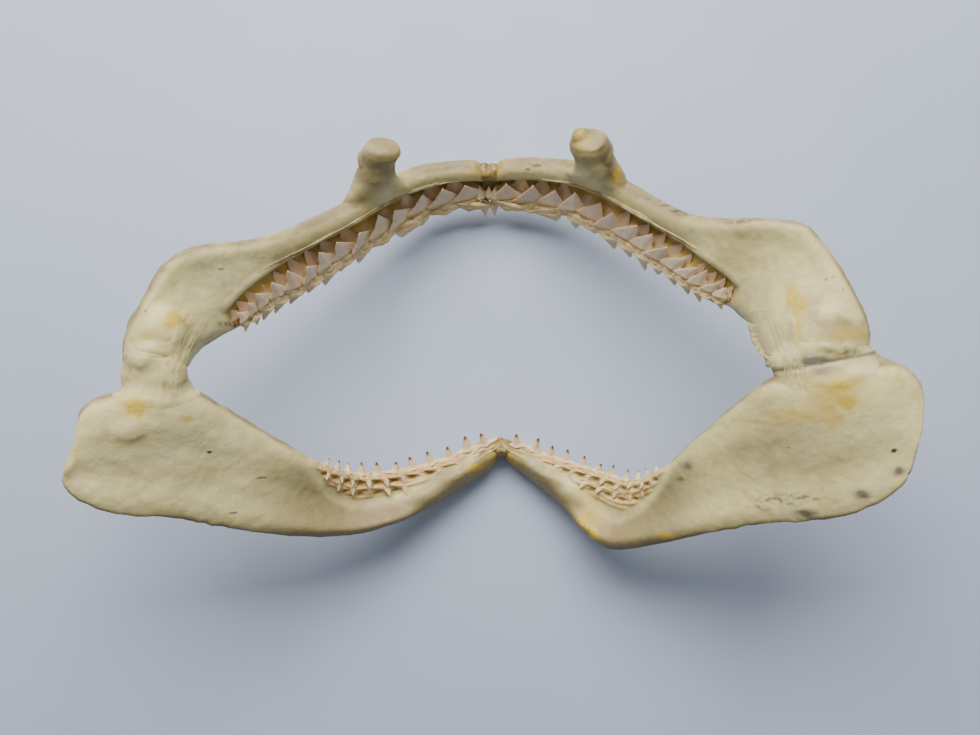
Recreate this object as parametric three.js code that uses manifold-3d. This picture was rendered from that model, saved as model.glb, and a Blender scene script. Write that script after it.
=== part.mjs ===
// The dried jaws of a requiem shark, spread wide open and lying face down: the teeth and the chin
// are on the ground and the two jaw joints are the highest places. +X is across the mouth, +Y is
// towards the upper jaw and +Z is towards the throat. Millimetres.
//
// Each of the four jaw cartilages is a blade between two borders. A station of a blade is one pair
// of border points, a section key gives the blade's two faces as heights over the line between
// them, and the teeth are joined to the border that carries them.
import * as THREE from "three";
import { mergeVertices } from "three/addons/utils/BufferGeometryUtils.js";
import Module from "manifold-3d";

const wasm = await Module();
wasm.setup();

// ---------------------------------------------------------------- driving dimensions
const TOUCH_GAP = 0.3; // left between two solids that meet
const MIDDLE = [1, 10.5]; // middle of the footprint, in the axes of the tables below
const BLADE_STEPS = 21; // slices along one cartilage
const SECTION_STEPS = 14; // points round one slice
const PAD_INSET = 0.4; // how much slimmer a symphysis pad is than the jaw
const GROUND_DEPTH = 40; // slab that the resting flats are cut with
const SPACE = 600; // side of the blocks used for cutting
// The two halves of a jaw end at these planes across X, with the soft pad of the symphysis between.
const SYMPHYSIS = { upper: [-3.5, 2], lower: [4, 9.5] };

// Shares of a blade's height, from its first border to its second, at which a section key
// states the throat face (6 values) and, coming back, the outer face (4 values).
const THROAT_SHARES = [0.08, 0.25, 0.45, 0.65, 0.85, 0.96];
const OUTER_SHARES = [0.9, 0.65, 0.35, 0.1];

// ---------------------------------------------------------------- cartilage outlines
// One row is one station, from the symphysis to the jaw joint: [first border, second border].
// Upper jaw: first border is the dorsal one, second border carries the teeth.
const UPPER_LEFT = [
  [[2, 115, 33], [2, 99, 9.2]],
  [[-21, 114.5, 35], [-20.7, 95.3, 9.5]],
  [[-40, 108.5, 39], [-38.6, 90.6, 11]],
  [[-57, 100.5, 45], [-55.7, 79.6, 17]],
  [[-75, 89, 53], [-71.5, 69, 26]],
  [[-91.5, 78, 63], [-87.7, 56.4, 36]],
  [[-108.5, 67.5, 77], [-103, 43, 48]],
  [[-126.5, 61.5, 90], [-117.2, 33.1, 58]],
  [[-141.5, 57.5, 102], [-131.5, 20.5, 69]],
  [[-152.5, 49.5, 107], [-141, 12.5, 82]],
  [[-159.5, 36.5, 110], [-144.5, 6, 94]],
  [[-166, 22, 112], [-145, 0, 101]],
  [[-170.5, 10.5, 111], [-150, -3, 105]],
  [[-171, 0, 108], [-159.5, -4, 107]],
];
const UPPER_RIGHT = [
  [[-3.5, 114.5, 33], [-3.5, 98.5, 9.2]],
  [[19, 116.3, 35], [18.7, 95.6, 9.5]],
  [[35, 114, 39], [36.4, 92.4, 11]],
  [[52.5, 109, 45], [53.2, 86.6, 17]],
  [[69.5, 101.5, 52], [69.3, 75.3, 26]],
  [[85, 89.5, 62], [84.5, 64.2, 36]],
  [[101, 78.5, 74], [98.7, 51.8, 47]],
  [[116, 73.5, 87], [111.9, 41.1, 57]],
  [[132, 72, 98], [124, 32, 67]],
  [[148.5, 67, 106], [131, 20.5, 82]],
  [[159.5, 53, 109], [132, 10, 94]],
  [[169, 36, 111], [135, 3, 101]],
  [[176.5, 19, 110], [145, 0.5, 105]],
  [[177.5, 8, 108], [163, 3.5, 108]],
];
// Lower jaw: first border carries the teeth and rises to the joint, second border is the ventral one.
const LOWER_LEFT = [
  [[9.5, -41.5, 10], [9.5, -53, 8]],
  [[-7, -44.5, 11], [-3.5, -62.5, 8]],
  [[-24.5, -51.5, 15], [-19, -71.8, 11]],
  [[-42.5, -56.5, 20], [-36, -81.5, 15]],
  [[-60, -59, 27], [-54, -88.5, 23]],
  [[-76.5, -58.5, 36], [-75, -93, 34]],
  [[-92, -50.5, 52], [-97, -91, 50]],
  [[-112.5, -34, 72], [-121.5, -85, 68]],
  [[-130, -19, 90], [-142.5, -77.5, 82]],
  [[-143, -9.5, 103], [-158, -72.5, 93]],
  [[-160, -9.5, 111], [-172, -70.5, 100]],
  [[-176.5, -12.5, 114], [-183, -67.5, 105]],
  [[-187.5, -19.5, 115], [-191.5, -62.5, 109]],
  [[-191.5, -33.5, 114], [-196, -57, 111]],
  [[-196.5, -46.5, 113], [-198, -52, 112]],
];
const LOWER_RIGHT = [
  [[4, -41.5, 10], [4, -53, 8]],
  [[21, -45.5, 11], [18.5, -62, 8]],
  [[37, -51, 15], [31, -72, 11]],
  [[53, -56, 20], [43.5, -82, 15]],
  [[67, -60, 27], [54, -93.5, 23]],
  [[80, -62.5, 36], [68, -101.5, 34]],
  [[93.5, -54, 50], [89, -95.5, 50]],
  [[108.5, -34.5, 68], [111.5, -86, 67]],
  [[122.5, -17, 86], [132.5, -79, 81]],
  [[134, -4.5, 102], [151, -75, 92]],
  [[153, -1, 111], [167, -71.5, 100]],
  [[174, 2, 114], [178, -66, 105]],
  [[190, 0.5, 115], [187, -60, 108]],
  [[199.5, -14, 114], [192.5, -52.5, 111]],
  [[194, -38, 112], [194.5, -46, 112]],
];

// ---------------------------------------------------------------- section keys
// at is a station number; throat and outer are in mm, off the line between the borders.
const UPPER_SECTIONS = [
  { at: 0, throat: [5, 6, 1.5, 2.5, 3.5, 2.5], outer: [-3, -5, -6, -4.5] },
  { at: 3, throat: [5.5, 6.5, 1.5, 2.5, 3.5, 2.5], outer: [-3, -5, -6, -5] },
  { at: 5, throat: [5.5, 7, 2.5, 3, 3.5, 2.5], outer: [-3, -5, -6, -5] },
  { at: 7, throat: [4, 5, 5.5, 5, 3.5, 2.5], outer: [-3, -5, -5, -4] },
  { at: 8.5, throat: [3.5, 2.5, 2.5, 5, 6, 3.5], outer: [-3, -4, -4, -3] },
  { at: 10.5, throat: [3.5, 3, 3, 5, 6, 3.5], outer: [-3, -4.5, -4.5, -3] },
  { at: 12, throat: [3.5, 5, 6, 6, 5, 3.5], outer: [-3.5, -5, -5.5, -3.5] },
  { at: 13, throat: [2.5, 4, 5, 5, 4, 2.5], outer: [-3, -4, -4, -2.5] },
];
const LOWER_SECTIONS = [
  { at: 0, throat: [3, 7, 8.5, 7, 4, 2], outer: [-5.5, -9.8, -10.2, -6] },
  { at: 1, throat: [3, 7.5, 9, 7.5, 4.5, 2], outer: [-5.5, -9.8, -10.2, -6] },
  { at: 2, throat: [2.5, 6, 10.5, 9, 5.5, 3], outer: [-4.5, -8, -8.5, -5.5] },
  { at: 3, throat: [2.5, 3.5, 7.5, 10, 7.5, 4], outer: [-4, -7, -8, -5] },
  { at: 4, throat: [2.5, 1.5, 0.5, 4, 9, 5], outer: [-3.5, -7, -8, -5] },
  { at: 5.5, throat: [2.5, 0, -1, 1.5, 6.5, 4], outer: [-3.5, -7, -8, -5] },
  { at: 7, throat: [4, 5, 3, 2.5, 4, 2.5], outer: [-2.5, -4, -5.5, -4.5] },
  { at: 9, throat: [6, 6, 2, 1.5, 3, 2.2], outer: [-2.5, -4, -5, -5] },
  { at: 11, throat: [6, 6, 3, 1.5, 3, 2.2], outer: [-2.5, -3.5, -5, -5] },
  { at: 13, throat: [3, 3.5, 3, 2.5, 2.5, 2], outer: [-2, -3, -3, -2.5] },
  { at: 14, throat: [1.2, 1.6, 1.8, 1.8, 1.6, 1.2], outer: [-1.2, -1.6, -1.6, -1.2] },
];

// ---------------------------------------------------------------- teeth
// A row runs between two station numbers; taper is the share of width lost by its last tooth.
// It stands off the tooth border by set mm, along the blade towards the other border, and leans
// to the throat side by lean. The working row points off the blade, the rows behind it lie back.
const UPPER_TEETH = { count: 14, start: 0.3, end: 8, taper: 0.6, thick: 3.4, bury: 4 };
const LOWER_TEETH = { count: 11, start: 0.4, end: 5.95, taper: 0.4, thick: 3, bury: 3 };
const UPPER_ROWS = [
  { set: 0.5, height: 12.3, lean: -0.35, working: true },
  { set: 9.5, height: 11, lean: 0.18, working: false },
];
const LOWER_ROWS = [
  { set: 0.5, height: 7, lean: 0.1, working: true },
  { set: 4, height: 4.6, lean: 0.3, working: false },
  { set: 8.6, height: 4.6, lean: 0.3, working: false },
];
const CUSP_SHOULDER = 0.3; // height share at which a working lower tooth narrows to its cusp
const CUSP_WIDTH = 0.34; // width share of that cusp

// ---------------------------------------------------------------- knobs and ligaments
// Rings of an orbital process, from inside the bar to the rounded cap: centre, then half width
// and half depth. The process is round about the line from its first centre to its last.
const ORBITALS = {
  upper_left: [
    [[-61, 94, 42], 20, 4],
    [[-61, 98.5, 49], 15.5, 5.5],
    [[-60.5, 103.5, 56], 10.8, 6.8],
    [[-58.5, 108.5, 62], 9.4, 7.5],
    [[-56, 112, 67], 9.8, 8.4],
    [[-55.5, 115, 70], 6.8, 5.5],
  ],
  upper_right: [
    [[57, 98, 42], 21, 4],
    [[57, 102.5, 49], 16, 5.5],
    [[56, 107, 56], 12, 7],
    [[53.5, 111.5, 62], 10.8, 7.8],
    [[51.5, 115.5, 67], 10.6, 8.8],
    [[50, 119, 70], 7.5, 6],
  ],
};
// Swellings at the jaw joint: centre, then half sizes.
const CONDYLES = {
  upper_left: { centre: [-157, 17, 106.5], half: [13.5, 14, 8] },
  upper_right: { centre: [160, 21, 106], half: [15, 14, 8.5] },
  lower_left: { centre: [-174, -23, 111], half: [19, 12, 8] },
  lower_right: { centre: [177, -11, 109], half: [21, 13, 8.5] },
};
// A joint ligament is a flat band over the joint, with the capsule round the joint itself.
// One row of a strap is its middle, its half width and the way its flat side faces.
const LIGAMENTS = {
  left: {
    strap: [
      [[-144.5, 31, 98.5], 7, [0.75, 0, 0.65]],
      [[-145, 15, 104.5], 4.5, [0.7, 0.1, 0.7]],
      [[-146, 3.5, 110], 4, [0.45, 0.1, 0.9]],
      [[-147, -12.5, 112], 5, [0.45, 0.1, 0.9]],
      [[-146, -25, 108.5], 6.5, [0.4, -0.4, 0.8]],
    ],
    capsule: { centre: [-155.5, -5, 107], half: [17, 11, 8] },
  },
  right: {
    strap: [
      [[137, 41, 97], 6, [-0.7, 0.15, 0.7]],
      [[137.5, 22, 105], 4.5, [-0.65, 0.2, 0.7]],
      [[139, 10, 109.5], 4, [-0.5, 0.15, 0.85]],
      [[141, -3, 111], 5, [-0.5, 0.2, 0.85]],
      [[146, -21, 111.5], 9, [-0.3, -0.4, 0.85]],
    ],
    capsule: { centre: [159, 3, 108], half: [22, 10, 8] },
  },
};
const LIGAMENT_HALF_THICKNESS = 1.6;
// Dried skin left at the corner of the mouth: outline in X and Y, between two heights.
const CORNER_SKIN = {
  outline: [[121, 24], [125.5, 13], [127.5, 7], [130, 5], [131.5, -1.5], [143, 1.5], [146, 12], [138, 22]],
  from: 101,
  to: 102.2,
};

// ---------------------------------------------------------------- colours
const finish = (color, roughness) => new THREE.MeshStandardMaterial({ color, roughness, metalness: 0 });
const CARTILAGE = finish(0xd8cfa6, 0.55);
const LIGAMENT = finish(0xcbb988, 0.5);
const PAD = finish(0xd3bd7c, 0.45);
const SKIN = finish(0xc9bb90, 0.5);

const vec = (p) => new THREE.Vector3(...p);
const solidOf = (geometry) => {
  const bare = geometry.clone().deleteAttribute("normal").deleteAttribute("uv");
  const merged = mergeVertices(bare, 1e-4);
  return new wasm.Manifold(new wasm.Mesh({
    numProp: 3,
    vertProperties: new Float32Array(merged.attributes.position.array),
    triVerts: new Uint32Array(merged.index.array),
  }));
};

function geometryOf(solid) {
  const mesh = solid.getMesh();
  const position = new Float32Array(mesh.numVert * 3);
  for (let i = 0; i < mesh.numVert; i++) {
    position.set(mesh.vertProperties.subarray(i * mesh.numProp, i * mesh.numProp + 3), i * 3);
  }
  const geometry = new THREE.BufferGeometry();
  geometry.setAttribute("position", new THREE.BufferAttribute(position, 3));
  geometry.setIndex(new THREE.BufferAttribute(mesh.triVerts, 1));
  geometry.computeVertexNormals();
  return geometry;
}

// A closed skin over a list of rings with the same number of points, with a flat fan at each end.
function skin(rings) {
  const count = rings[0].length;
  const points = rings.flat();
  const index = [];
  for (let i = 0; i + 1 < rings.length; i++) {
    for (let j = 0; j < count; j++) {
      const a = i * count + j;
      const b = i * count + ((j + 1) % count);
      index.push(a, b, a + count, b, b + count, a + count);
    }
  }
  for (const [row, flip] of [[0, true], [rings.length - 1, false]]) {
    const hub = points.length;
    points.push(rings[row].reduce((sum, p) => sum.add(p), new THREE.Vector3()).divideScalar(count));
    for (let j = 0; j < count; j++) {
      const a = row * count + j;
      const b = row * count + ((j + 1) % count);
      index.push(...(flip ? [hub, b, a] : [hub, a, b]));
    }
  }
  const geometry = new THREE.BufferGeometry().setFromPoints(points);
  geometry.setIndex(index);
  return facingOut(geometry);
}

// The same geometry with its faces turned if they enclose a negative volume.
function facingOut(geometry) {
  const position = geometry.attributes.position;
  const [a, b, c] = [new THREE.Vector3(), new THREE.Vector3(), new THREE.Vector3()];
  const index = geometry.index.array;
  let volume = 0;
  for (let i = 0; i < index.length; i += 3) {
    a.fromBufferAttribute(position, index[i]);
    b.fromBufferAttribute(position, index[i + 1]);
    c.fromBufferAttribute(position, index[i + 2]);
    volume += a.dot(b.cross(c)) / 6;
  }
  if (volume < 0) {
    for (let i = 0; i < index.length; i += 3) [index[i + 1], index[i + 2]] = [index[i + 2], index[i + 1]];
  }
  return geometry;
}

// ---------------------------------------------------------------- blades
// The section's heights at a station number, eased between the two nearest keys.
function sectionAt(keys, station) {
  const next = Math.max(1, keys.findIndex((key) => key.at >= station));
  const [a, b] = [keys[next - 1], keys[next]];
  const share = THREE.MathUtils.smoothstep(station, a.at, b.at);
  const mix = (p, q) => p.map((value, i) => value + (q[i] - value) * share);
  return { throat: mix(a.throat, b.throat), outer: mix(a.outer, b.outer) };
}

// A blade's curves: side is -1 on the left and +1 on the right, toothBorder 0 or 1.
function makeBlade(stations, sections, side, toothBorder) {
  const border = (k) => new THREE.CatmullRomCurve3(stations.map((s) => vec(s[k])), false, "catmullrom", 0.5);
  return { borders: [border(0), border(1)], last: stations.length - 1, sections, side, toothBorder };
}

// Both border points and the throat-facing normal at a station number.
function frameAt(blade, station) {
  const at = (s) => blade.borders.map((curve) => curve.getPoint(THREE.MathUtils.clamp(s / blade.last, 0, 1)));
  const [first, second] = at(station);
  const middle = (pair) => pair[0].clone().add(pair[1]).multiplyScalar(0.5);
  const along = middle(at(station + 0.1)).sub(middle(at(station - 0.1)));
  const normal = along.cross(second.clone().sub(first)).normalize().multiplyScalar(blade.side < 0 ? 1 : -1);
  return { first, second, normal };
}

// The point of a blade's face at a station, a share of its height and a height over its chord.
function facePoint(frame, share, height) {
  return frame.first.clone().lerp(frame.second, share).addScaledVector(frame.normal, height);
}

// The slice of a blade at a station, grown outwards by grow mm.
function sliceAt(blade, station, grow = 0) {
  const frame = frameAt(blade, station);
  const reach = grow / Math.max(1, frame.first.distanceTo(frame.second));
  const { throat, outer } = sectionAt(blade.sections, station);
  const outline = [
    facePoint(frame, -reach, 0),
    ...THROAT_SHARES.map((share, i) => facePoint(frame, share, throat[i] + grow)),
    facePoint(frame, 1 + reach, 0),
    ...OUTER_SHARES.map((share, i) => facePoint(frame, share, outer[i] - grow)),
  ];
  const loop = new THREE.CatmullRomCurve3(outline, true, "catmullrom", 0.5);
  return Array.from({ length: SECTION_STEPS }, (_, i) => loop.getPoint(i / SECTION_STEPS));
}

function bladeSolid(blade, grow = 0) {
  const rings = Array.from({ length: BLADE_STEPS + 1 },
    (_, i) => sliceAt(blade, (i / BLADE_STEPS) * blade.last, grow));
  return solidOf(skin(rings));
}

// ---------------------------------------------------------------- tooth rows
// Station and width of each tooth: widths shrink towards the corner of the mouth and fill the row.
function toothPlaces(blade, { count, start, end, taper }) {
  const SAMPLES = 120;
  const curve = blade.borders[blade.toothBorder];
  const stationAt = (i) => start + ((end - start) * i) / SAMPLES;
  const lengths = [0];
  let previous = curve.getPoint(start / blade.last);
  for (let i = 1; i <= SAMPLES; i++) {
    const point = curve.getPoint(stationAt(i) / blade.last);
    lengths.push(lengths[i - 1] + point.distanceTo(previous));
    previous = point;
  }
  const weights = Array.from({ length: count }, (_, i) => 1 - taper * (i / (count - 1)) ** 1.6);
  const unit = lengths[SAMPLES] / weights.reduce((sum, w) => sum + w, 0);
  let reached = 0;
  return weights.map((weight) => {
    const centre = reached + (weight * unit) / 2;
    reached += weight * unit;
    const i = lengths.findIndex((length) => length >= centre);
    const part = (centre - lengths[i - 1]) / (lengths[i] - lengths[i - 1]);
    return { station: stationAt(i - 1 + part), width: weight * unit };
  });
}

// Axes of a tooth: along the row, across its flat face and up to its tip.
function toothAxes(blade, station, row) {
  const frame = frameAt(blade, station);
  const carrier = blade.toothBorder ? frame.second : frame.first;
  const inward = (blade.toothBorder ? frame.first : frame.second).clone().sub(carrier).normalize();
  const next = frameAt(blade, station + 0.1);
  const along = (blade.toothBorder ? next.second : next.first).clone().sub(carrier).normalize();
  const up = inward.clone().multiplyScalar(row.working ? -1 : 1).addScaledVector(frame.normal, row.lean);
  up.addScaledVector(along, -up.dot(along)).normalize();
  const share = row.set / frame.first.distanceTo(frame.second);
  const { throat } = sectionAt(blade.sections, station);
  const lift = row.working ? 0.5 : throat[blade.toothBorder ? 4 : 1];
  const root = facePoint(frame, blade.toothBorder ? 1 - share : share, lift);
  return { root, along, up, across: up.clone().cross(along).normalize() };
}

// A tooth as stacked rectangles that close in a point: [height, half width, half thickness].
function toothSolid({ root, along, up, across }, levels, tip) {
  const corner = ([height, halfWidth, halfThickness], x, y) => root.clone()
    .addScaledVector(up, height)
    .addScaledVector(along, x * halfWidth)
    .addScaledVector(across, y * halfThickness);
  const CORNERS = [[-1, -1], [1, -1], [1, 1], [-1, 1]];
  const rings = levels.map((level) => CORNERS.map(([x, y]) => corner(level, x, y)));
  const points = [...rings.flat(), root.clone().addScaledVector(up, tip)];
  const index = [0, 2, 1, 0, 3, 2];
  const apex = points.length - 1;
  rings.forEach((_, level) => {
    for (let j = 0; j < 4; j++) {
      const a = level * 4 + j;
      const b = level * 4 + ((j + 1) % 4);
      if (level + 1 < rings.length) index.push(a, b, a + 4, b, b + 4, a + 4);
      else index.push(a, b, apex);
    }
  });
  const geometry = new THREE.BufferGeometry().setFromPoints(points);
  geometry.setIndex(index);
  return solidOf(facingOut(geometry));
}

function toothRow(blade, teeth, row, cusped) {
  return toothPlaces(blade, teeth).map(({ station, width }) => {
    const size = Math.min(1, 0.1 + (0.9 * width) / 11);
    const half = width * 0.52;
    const thick = teeth.thick / 2;
    const foot = [-teeth.bury, half, thick];
    const shoulder = [row.height * size * CUSP_SHOULDER, half * CUSP_WIDTH, thick * 0.8];
    return toothSolid(toothAxes(blade, station, row), cusped ? [foot, shoulder] : [foot], row.height * size);
  });
}

// ---------------------------------------------------------------- rounded parts
function ellipsoid({ centre, half }, grow = 0) {
  const ball = new THREE.SphereGeometry(1, 10, 6);
  ball.scale(...half.map((h) => h + grow)).translate(...centre);
  return solidOf(ball);
}

function orbitalProcess(rings) {
  const POINTS = 12;
  const axis = vec(rings.at(-1)[0]).sub(vec(rings[0][0])).normalize();
  const wide = new THREE.Vector3(1, 0, 0).addScaledVector(axis, -axis.x).normalize();
  const deep = axis.clone().cross(wide);
  return solidOf(skin(rings.map(([centre, halfWidth, halfDepth]) => Array.from({ length: POINTS }, (_, i) => {
    const turn = (i / POINTS) * 2 * Math.PI;
    return vec(centre).addScaledVector(wide, halfWidth * Math.cos(turn))
      .addScaledVector(deep, halfDepth * Math.sin(turn));
  }))));
}

// A flat band along the rows of a strap.
function band(rows, grow = 0) {
  const [STEPS, POINTS] = [6, 6];
  const line = new THREE.CatmullRomCurve3(rows.map(([centre]) => vec(centre)), false, "catmullrom", 0.5);
  const rings = Array.from({ length: STEPS + 1 }, (_, i) => {
    const at = (i / STEPS) * (rows.length - 1);
    const low = Math.min(rows.length - 2, Math.floor(at));
    const [a, b] = [rows[low], rows[low + 1]];
    const half = THREE.MathUtils.lerp(a[1], b[1], at - low) + grow;
    const along = line.getTangent(i / STEPS);
    const flat = vec(a[2]).lerp(vec(b[2]), at - low);
    flat.addScaledVector(along, -along.dot(flat)).normalize();
    const wide = along.clone().cross(flat);
    return Array.from({ length: POINTS }, (_, j) => {
      const turn = (j / POINTS) * 2 * Math.PI;
      return line.getPoint(i / STEPS).addScaledVector(wide, half * Math.cos(turn))
        .addScaledVector(flat, (LIGAMENT_HALF_THICKNESS + grow) * Math.sin(turn));
    });
  });
  return solidOf(skin(rings));
}

// The slab of space between two planes across X.
function slab(from, to) {
  return solidOf(new THREE.BoxGeometry(to - from, SPACE, SPACE).translate((from + to) / 2, 0, 0));
}

const largest = (solid) => solid.decompose().sort((a, b) => b.volume() - a.volume())[0];

// ---------------------------------------------------------------- assembly
const BLADES = {
  upper_left: makeBlade(UPPER_LEFT, UPPER_SECTIONS, -1, 1),
  upper_right: makeBlade(UPPER_RIGHT, UPPER_SECTIONS, 1, 1),
  lower_left: makeBlade(LOWER_LEFT, LOWER_SECTIONS, -1, 0),
  lower_right: makeBlade(LOWER_RIGHT, LOWER_SECTIONS, 1, 0),
};
const ground = solidOf(new THREE.BoxGeometry(SPACE, SPACE, GROUND_DEPTH).translate(0, 0, -GROUND_DEPTH / 2));

function cartilage(name, grow = 0) {
  const parts = [bladeSolid(BLADES[name], grow), ellipsoid(CONDYLES[name], grow)];
  if (name in ORBITALS) parts.push(orbitalProcess(ORBITALS[name]));
  return wasm.Manifold.union(parts);
}

function teethOf(name) {
  const lower = name.startsWith("lower");
  const [teeth, rows] = lower ? [LOWER_TEETH, LOWER_ROWS] : [UPPER_TEETH, UPPER_ROWS];
  return rows.flatMap((row) => toothRow(BLADES[name], teeth, row, lower && row.working));
}

// One half of a jaw with its teeth, cut off at the plane of its symphysis and at the ground.
function jawHalf(name) {
  const [jaw, side] = name.split("_");
  const [leftEnd, rightEnd] = SYMPHYSIS[jaw];
  const own = side === "left" ? slab(-SPACE / 2, leftEnd) : slab(rightEnd, SPACE / 2);
  return wasm.Manifold.union([cartilage(name), ...teethOf(name)]).intersect(own).subtract(ground);
}

// The pad of a symphysis: the overlap of both halves' ends, a little slimmer than they are.
function symphysisPad(jaw) {
  const [leftEnd, rightEnd] = SYMPHYSIS[jaw];
  return bladeSolid(BLADES[`${jaw}_left`], -PAD_INSET).add(bladeSolid(BLADES[`${jaw}_right`], -PAD_INSET))
    .intersect(slab(leftEnd + TOUCH_GAP, rightEnd - TOUCH_GAP)).subtract(ground);
}

function cornerSkin({ outline, from, to }) {
  const shape = new THREE.Shape(outline.map(([x, y]) => new THREE.Vector2(x, y)));
  const plate = new THREE.ExtrudeGeometry(shape, { depth: to - from, bevelEnabled: false });
  return solidOf(plate.translate(0, 0, from));
}

const group = new THREE.Group();
function add(name, solid, material) {
  const mesh = new THREE.Mesh(geometryOf(largest(solid)), material);
  mesh.name = name;
  group.add(mesh);
}

const grown = {};
for (const name of Object.keys(BLADES)) grown[name] = cartilage(name, TOUCH_GAP);
const ligament = ({ strap, capsule }, grow = 0) => band(strap, grow).add(ellipsoid(capsule, grow));
for (const side of ["left", "right"]) {
  const [upper, lower] = [`upper_${side}`, `lower_${side}`];
  add(`upper_jaw_${side}`, jawHalf(upper), CARTILAGE);
  add(`lower_jaw_${side}`, jawHalf(lower).subtract(grown[upper]), CARTILAGE);
  const joint = ligament(LIGAMENTS[side]).subtract(grown[upper]).subtract(grown[lower]);
  add(`joint_ligament_${side}`, joint, LIGAMENT);
}
const rightJoint = wasm.Manifold.union([
  ligament(LIGAMENTS.right, TOUCH_GAP), grown.upper_right, grown.lower_right,
]);
add("mouth_corner_skin_right", cornerSkin(CORNER_SKIN).subtract(rightJoint), SKIN);
add("upper_symphysis_pad", symphysisPad("upper"), PAD);
add("lower_symphysis_pad", symphysisPad("lower"), PAD);

group.position.set(-MIDDLE[0], -MIDDLE[1], 0);
export default group;
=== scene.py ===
"""Dried jaws of a requiem shark, spread wide open and lying face down on a pale table.

Lengths in the tables are millimetres, in axes whose origin lies under the camera: +X runs across
the mouth, +Y towards the upper jaw and +Z up to the throat side. Meshes are moved to the part's
own origin and to metres when they are made.
"""

import itertools
import logging
import math
from dataclasses import dataclass, field, replace
from enum import Enum
from typing import Any, Callable, Iterator, Sequence

import bpy
import numpy as np
from mathutils import Matrix, Vector
from mathutils.bvhtree import BVHTree
from mathutils.kdtree import KDTree


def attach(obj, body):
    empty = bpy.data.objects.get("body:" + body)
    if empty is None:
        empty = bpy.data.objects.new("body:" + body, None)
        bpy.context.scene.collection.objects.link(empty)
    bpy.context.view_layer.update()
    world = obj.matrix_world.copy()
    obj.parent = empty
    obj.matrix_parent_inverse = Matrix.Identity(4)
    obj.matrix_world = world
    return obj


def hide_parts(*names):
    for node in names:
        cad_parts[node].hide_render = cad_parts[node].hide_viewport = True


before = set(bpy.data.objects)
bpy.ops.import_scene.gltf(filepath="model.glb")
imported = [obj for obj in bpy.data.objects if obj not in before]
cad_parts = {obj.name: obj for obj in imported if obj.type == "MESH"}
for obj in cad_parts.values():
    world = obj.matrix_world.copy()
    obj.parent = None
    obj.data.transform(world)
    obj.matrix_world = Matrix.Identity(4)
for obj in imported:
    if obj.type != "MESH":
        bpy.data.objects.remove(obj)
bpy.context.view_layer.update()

LOG = logging.getLogger("shark_jaw")
Array = np.ndarray

# ---------------------------------------------------------------- sizes shared with the solids
MM = 0.001
MIDDLE = np.array([1.0, 10.5, 0.0])
SYMPHYSIS = {"upper": (-3.5, 2.0), "lower": (4.0, 9.5)}
THROAT_SHARES = (0.08, 0.25, 0.45, 0.65, 0.85, 0.96)
OUTER_SHARES = (0.9, 0.65, 0.35, 0.1)
LOOP_SHARES = (0.0, *THROAT_SHARES, 1.0, *OUTER_SHARES)
SECOND_BORDER_AT = 7  # number of the second border among a section's twelve points

# One row is one station from the symphysis to the joint: (first border, second border).
UPPER_LEFT = (
    ((2, 115, 33), (2, 99, 9.2)), ((-21, 114.5, 35), (-20.7, 95.3, 9.5)),
    ((-40, 110, 39), (-38.6, 90.6, 11)), ((-57, 102.3, 45), (-55.7, 79.6, 17)),
    ((-75, 89, 53), (-71.5, 69, 26)), ((-91.5, 78, 63), (-87.7, 56.4, 36)),
    ((-108.5, 67.5, 77), (-103, 43, 48)), ((-126.5, 61.5, 90), (-117.2, 33.1, 58)),
    ((-141.5, 57.5, 102), (-131.5, 20.5, 69)), ((-152.5, 49.5, 107), (-141, 12.5, 82)),
    ((-159.5, 36.5, 110), (-144.5, 6, 94)), ((-166, 22, 112), (-145, 0, 101)),
    ((-170.5, 10.5, 111), (-150, -3, 105)), ((-171, 0, 108), (-159.5, -4, 107)),
)
UPPER_RIGHT = (
    ((-3.5, 114.5, 33), (-3.5, 98.5, 9.2)), ((19, 116.3, 35), (18.7, 95.6, 9.5)),
    ((35, 115, 39), (36.4, 92.4, 11)), ((52.5, 111, 45), (53.2, 86.6, 17)),
    ((69.5, 101.5, 52), (69.3, 75.3, 26)), ((85, 89.5, 62), (84.5, 64.2, 36)),
    ((101, 78.5, 74), (98.7, 51.8, 47)), ((116, 73.5, 87), (111.9, 41.1, 57)),
    ((132, 72, 98), (124, 32, 67)), ((148.5, 67, 106), (131, 20.5, 82)),
    ((159.5, 53, 109), (132, 10, 94)), ((169, 36, 111), (135, 3, 101)),
    ((176.5, 19, 110), (145, 0.5, 105)), ((177.5, 8, 108), (163, 3.5, 108)),
)
LOWER_LEFT = (
    ((9.5, -41.5, 10), (9.5, -53, 8)), ((-7, -44.5, 11), (-3.5, -62.5, 8)),
    ((-24.5, -51.5, 15), (-19, -71.8, 11)), ((-42.5, -56.5, 20), (-36, -81.5, 15)),
    ((-60, -59, 27), (-54, -88.5, 23)), ((-76.5, -58.5, 36), (-75, -93, 34)),
    ((-92, -50.5, 52), (-97, -91, 50)), ((-112.5, -34, 72), (-121.5, -85, 68)),
    ((-130, -19, 90), (-142.5, -77.5, 82)), ((-143, -9.5, 103), (-158, -72.5, 93)),
    ((-160, -9.5, 111), (-172, -70.5, 100)), ((-176.5, -12.5, 114), (-183, -67.5, 105)),
    ((-187.5, -19.5, 115), (-191.5, -62.5, 109)), ((-191.5, -33.5, 114), (-196, -57, 111)),
    ((-196.5, -46.5, 113), (-198, -52, 112)),
)
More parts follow.
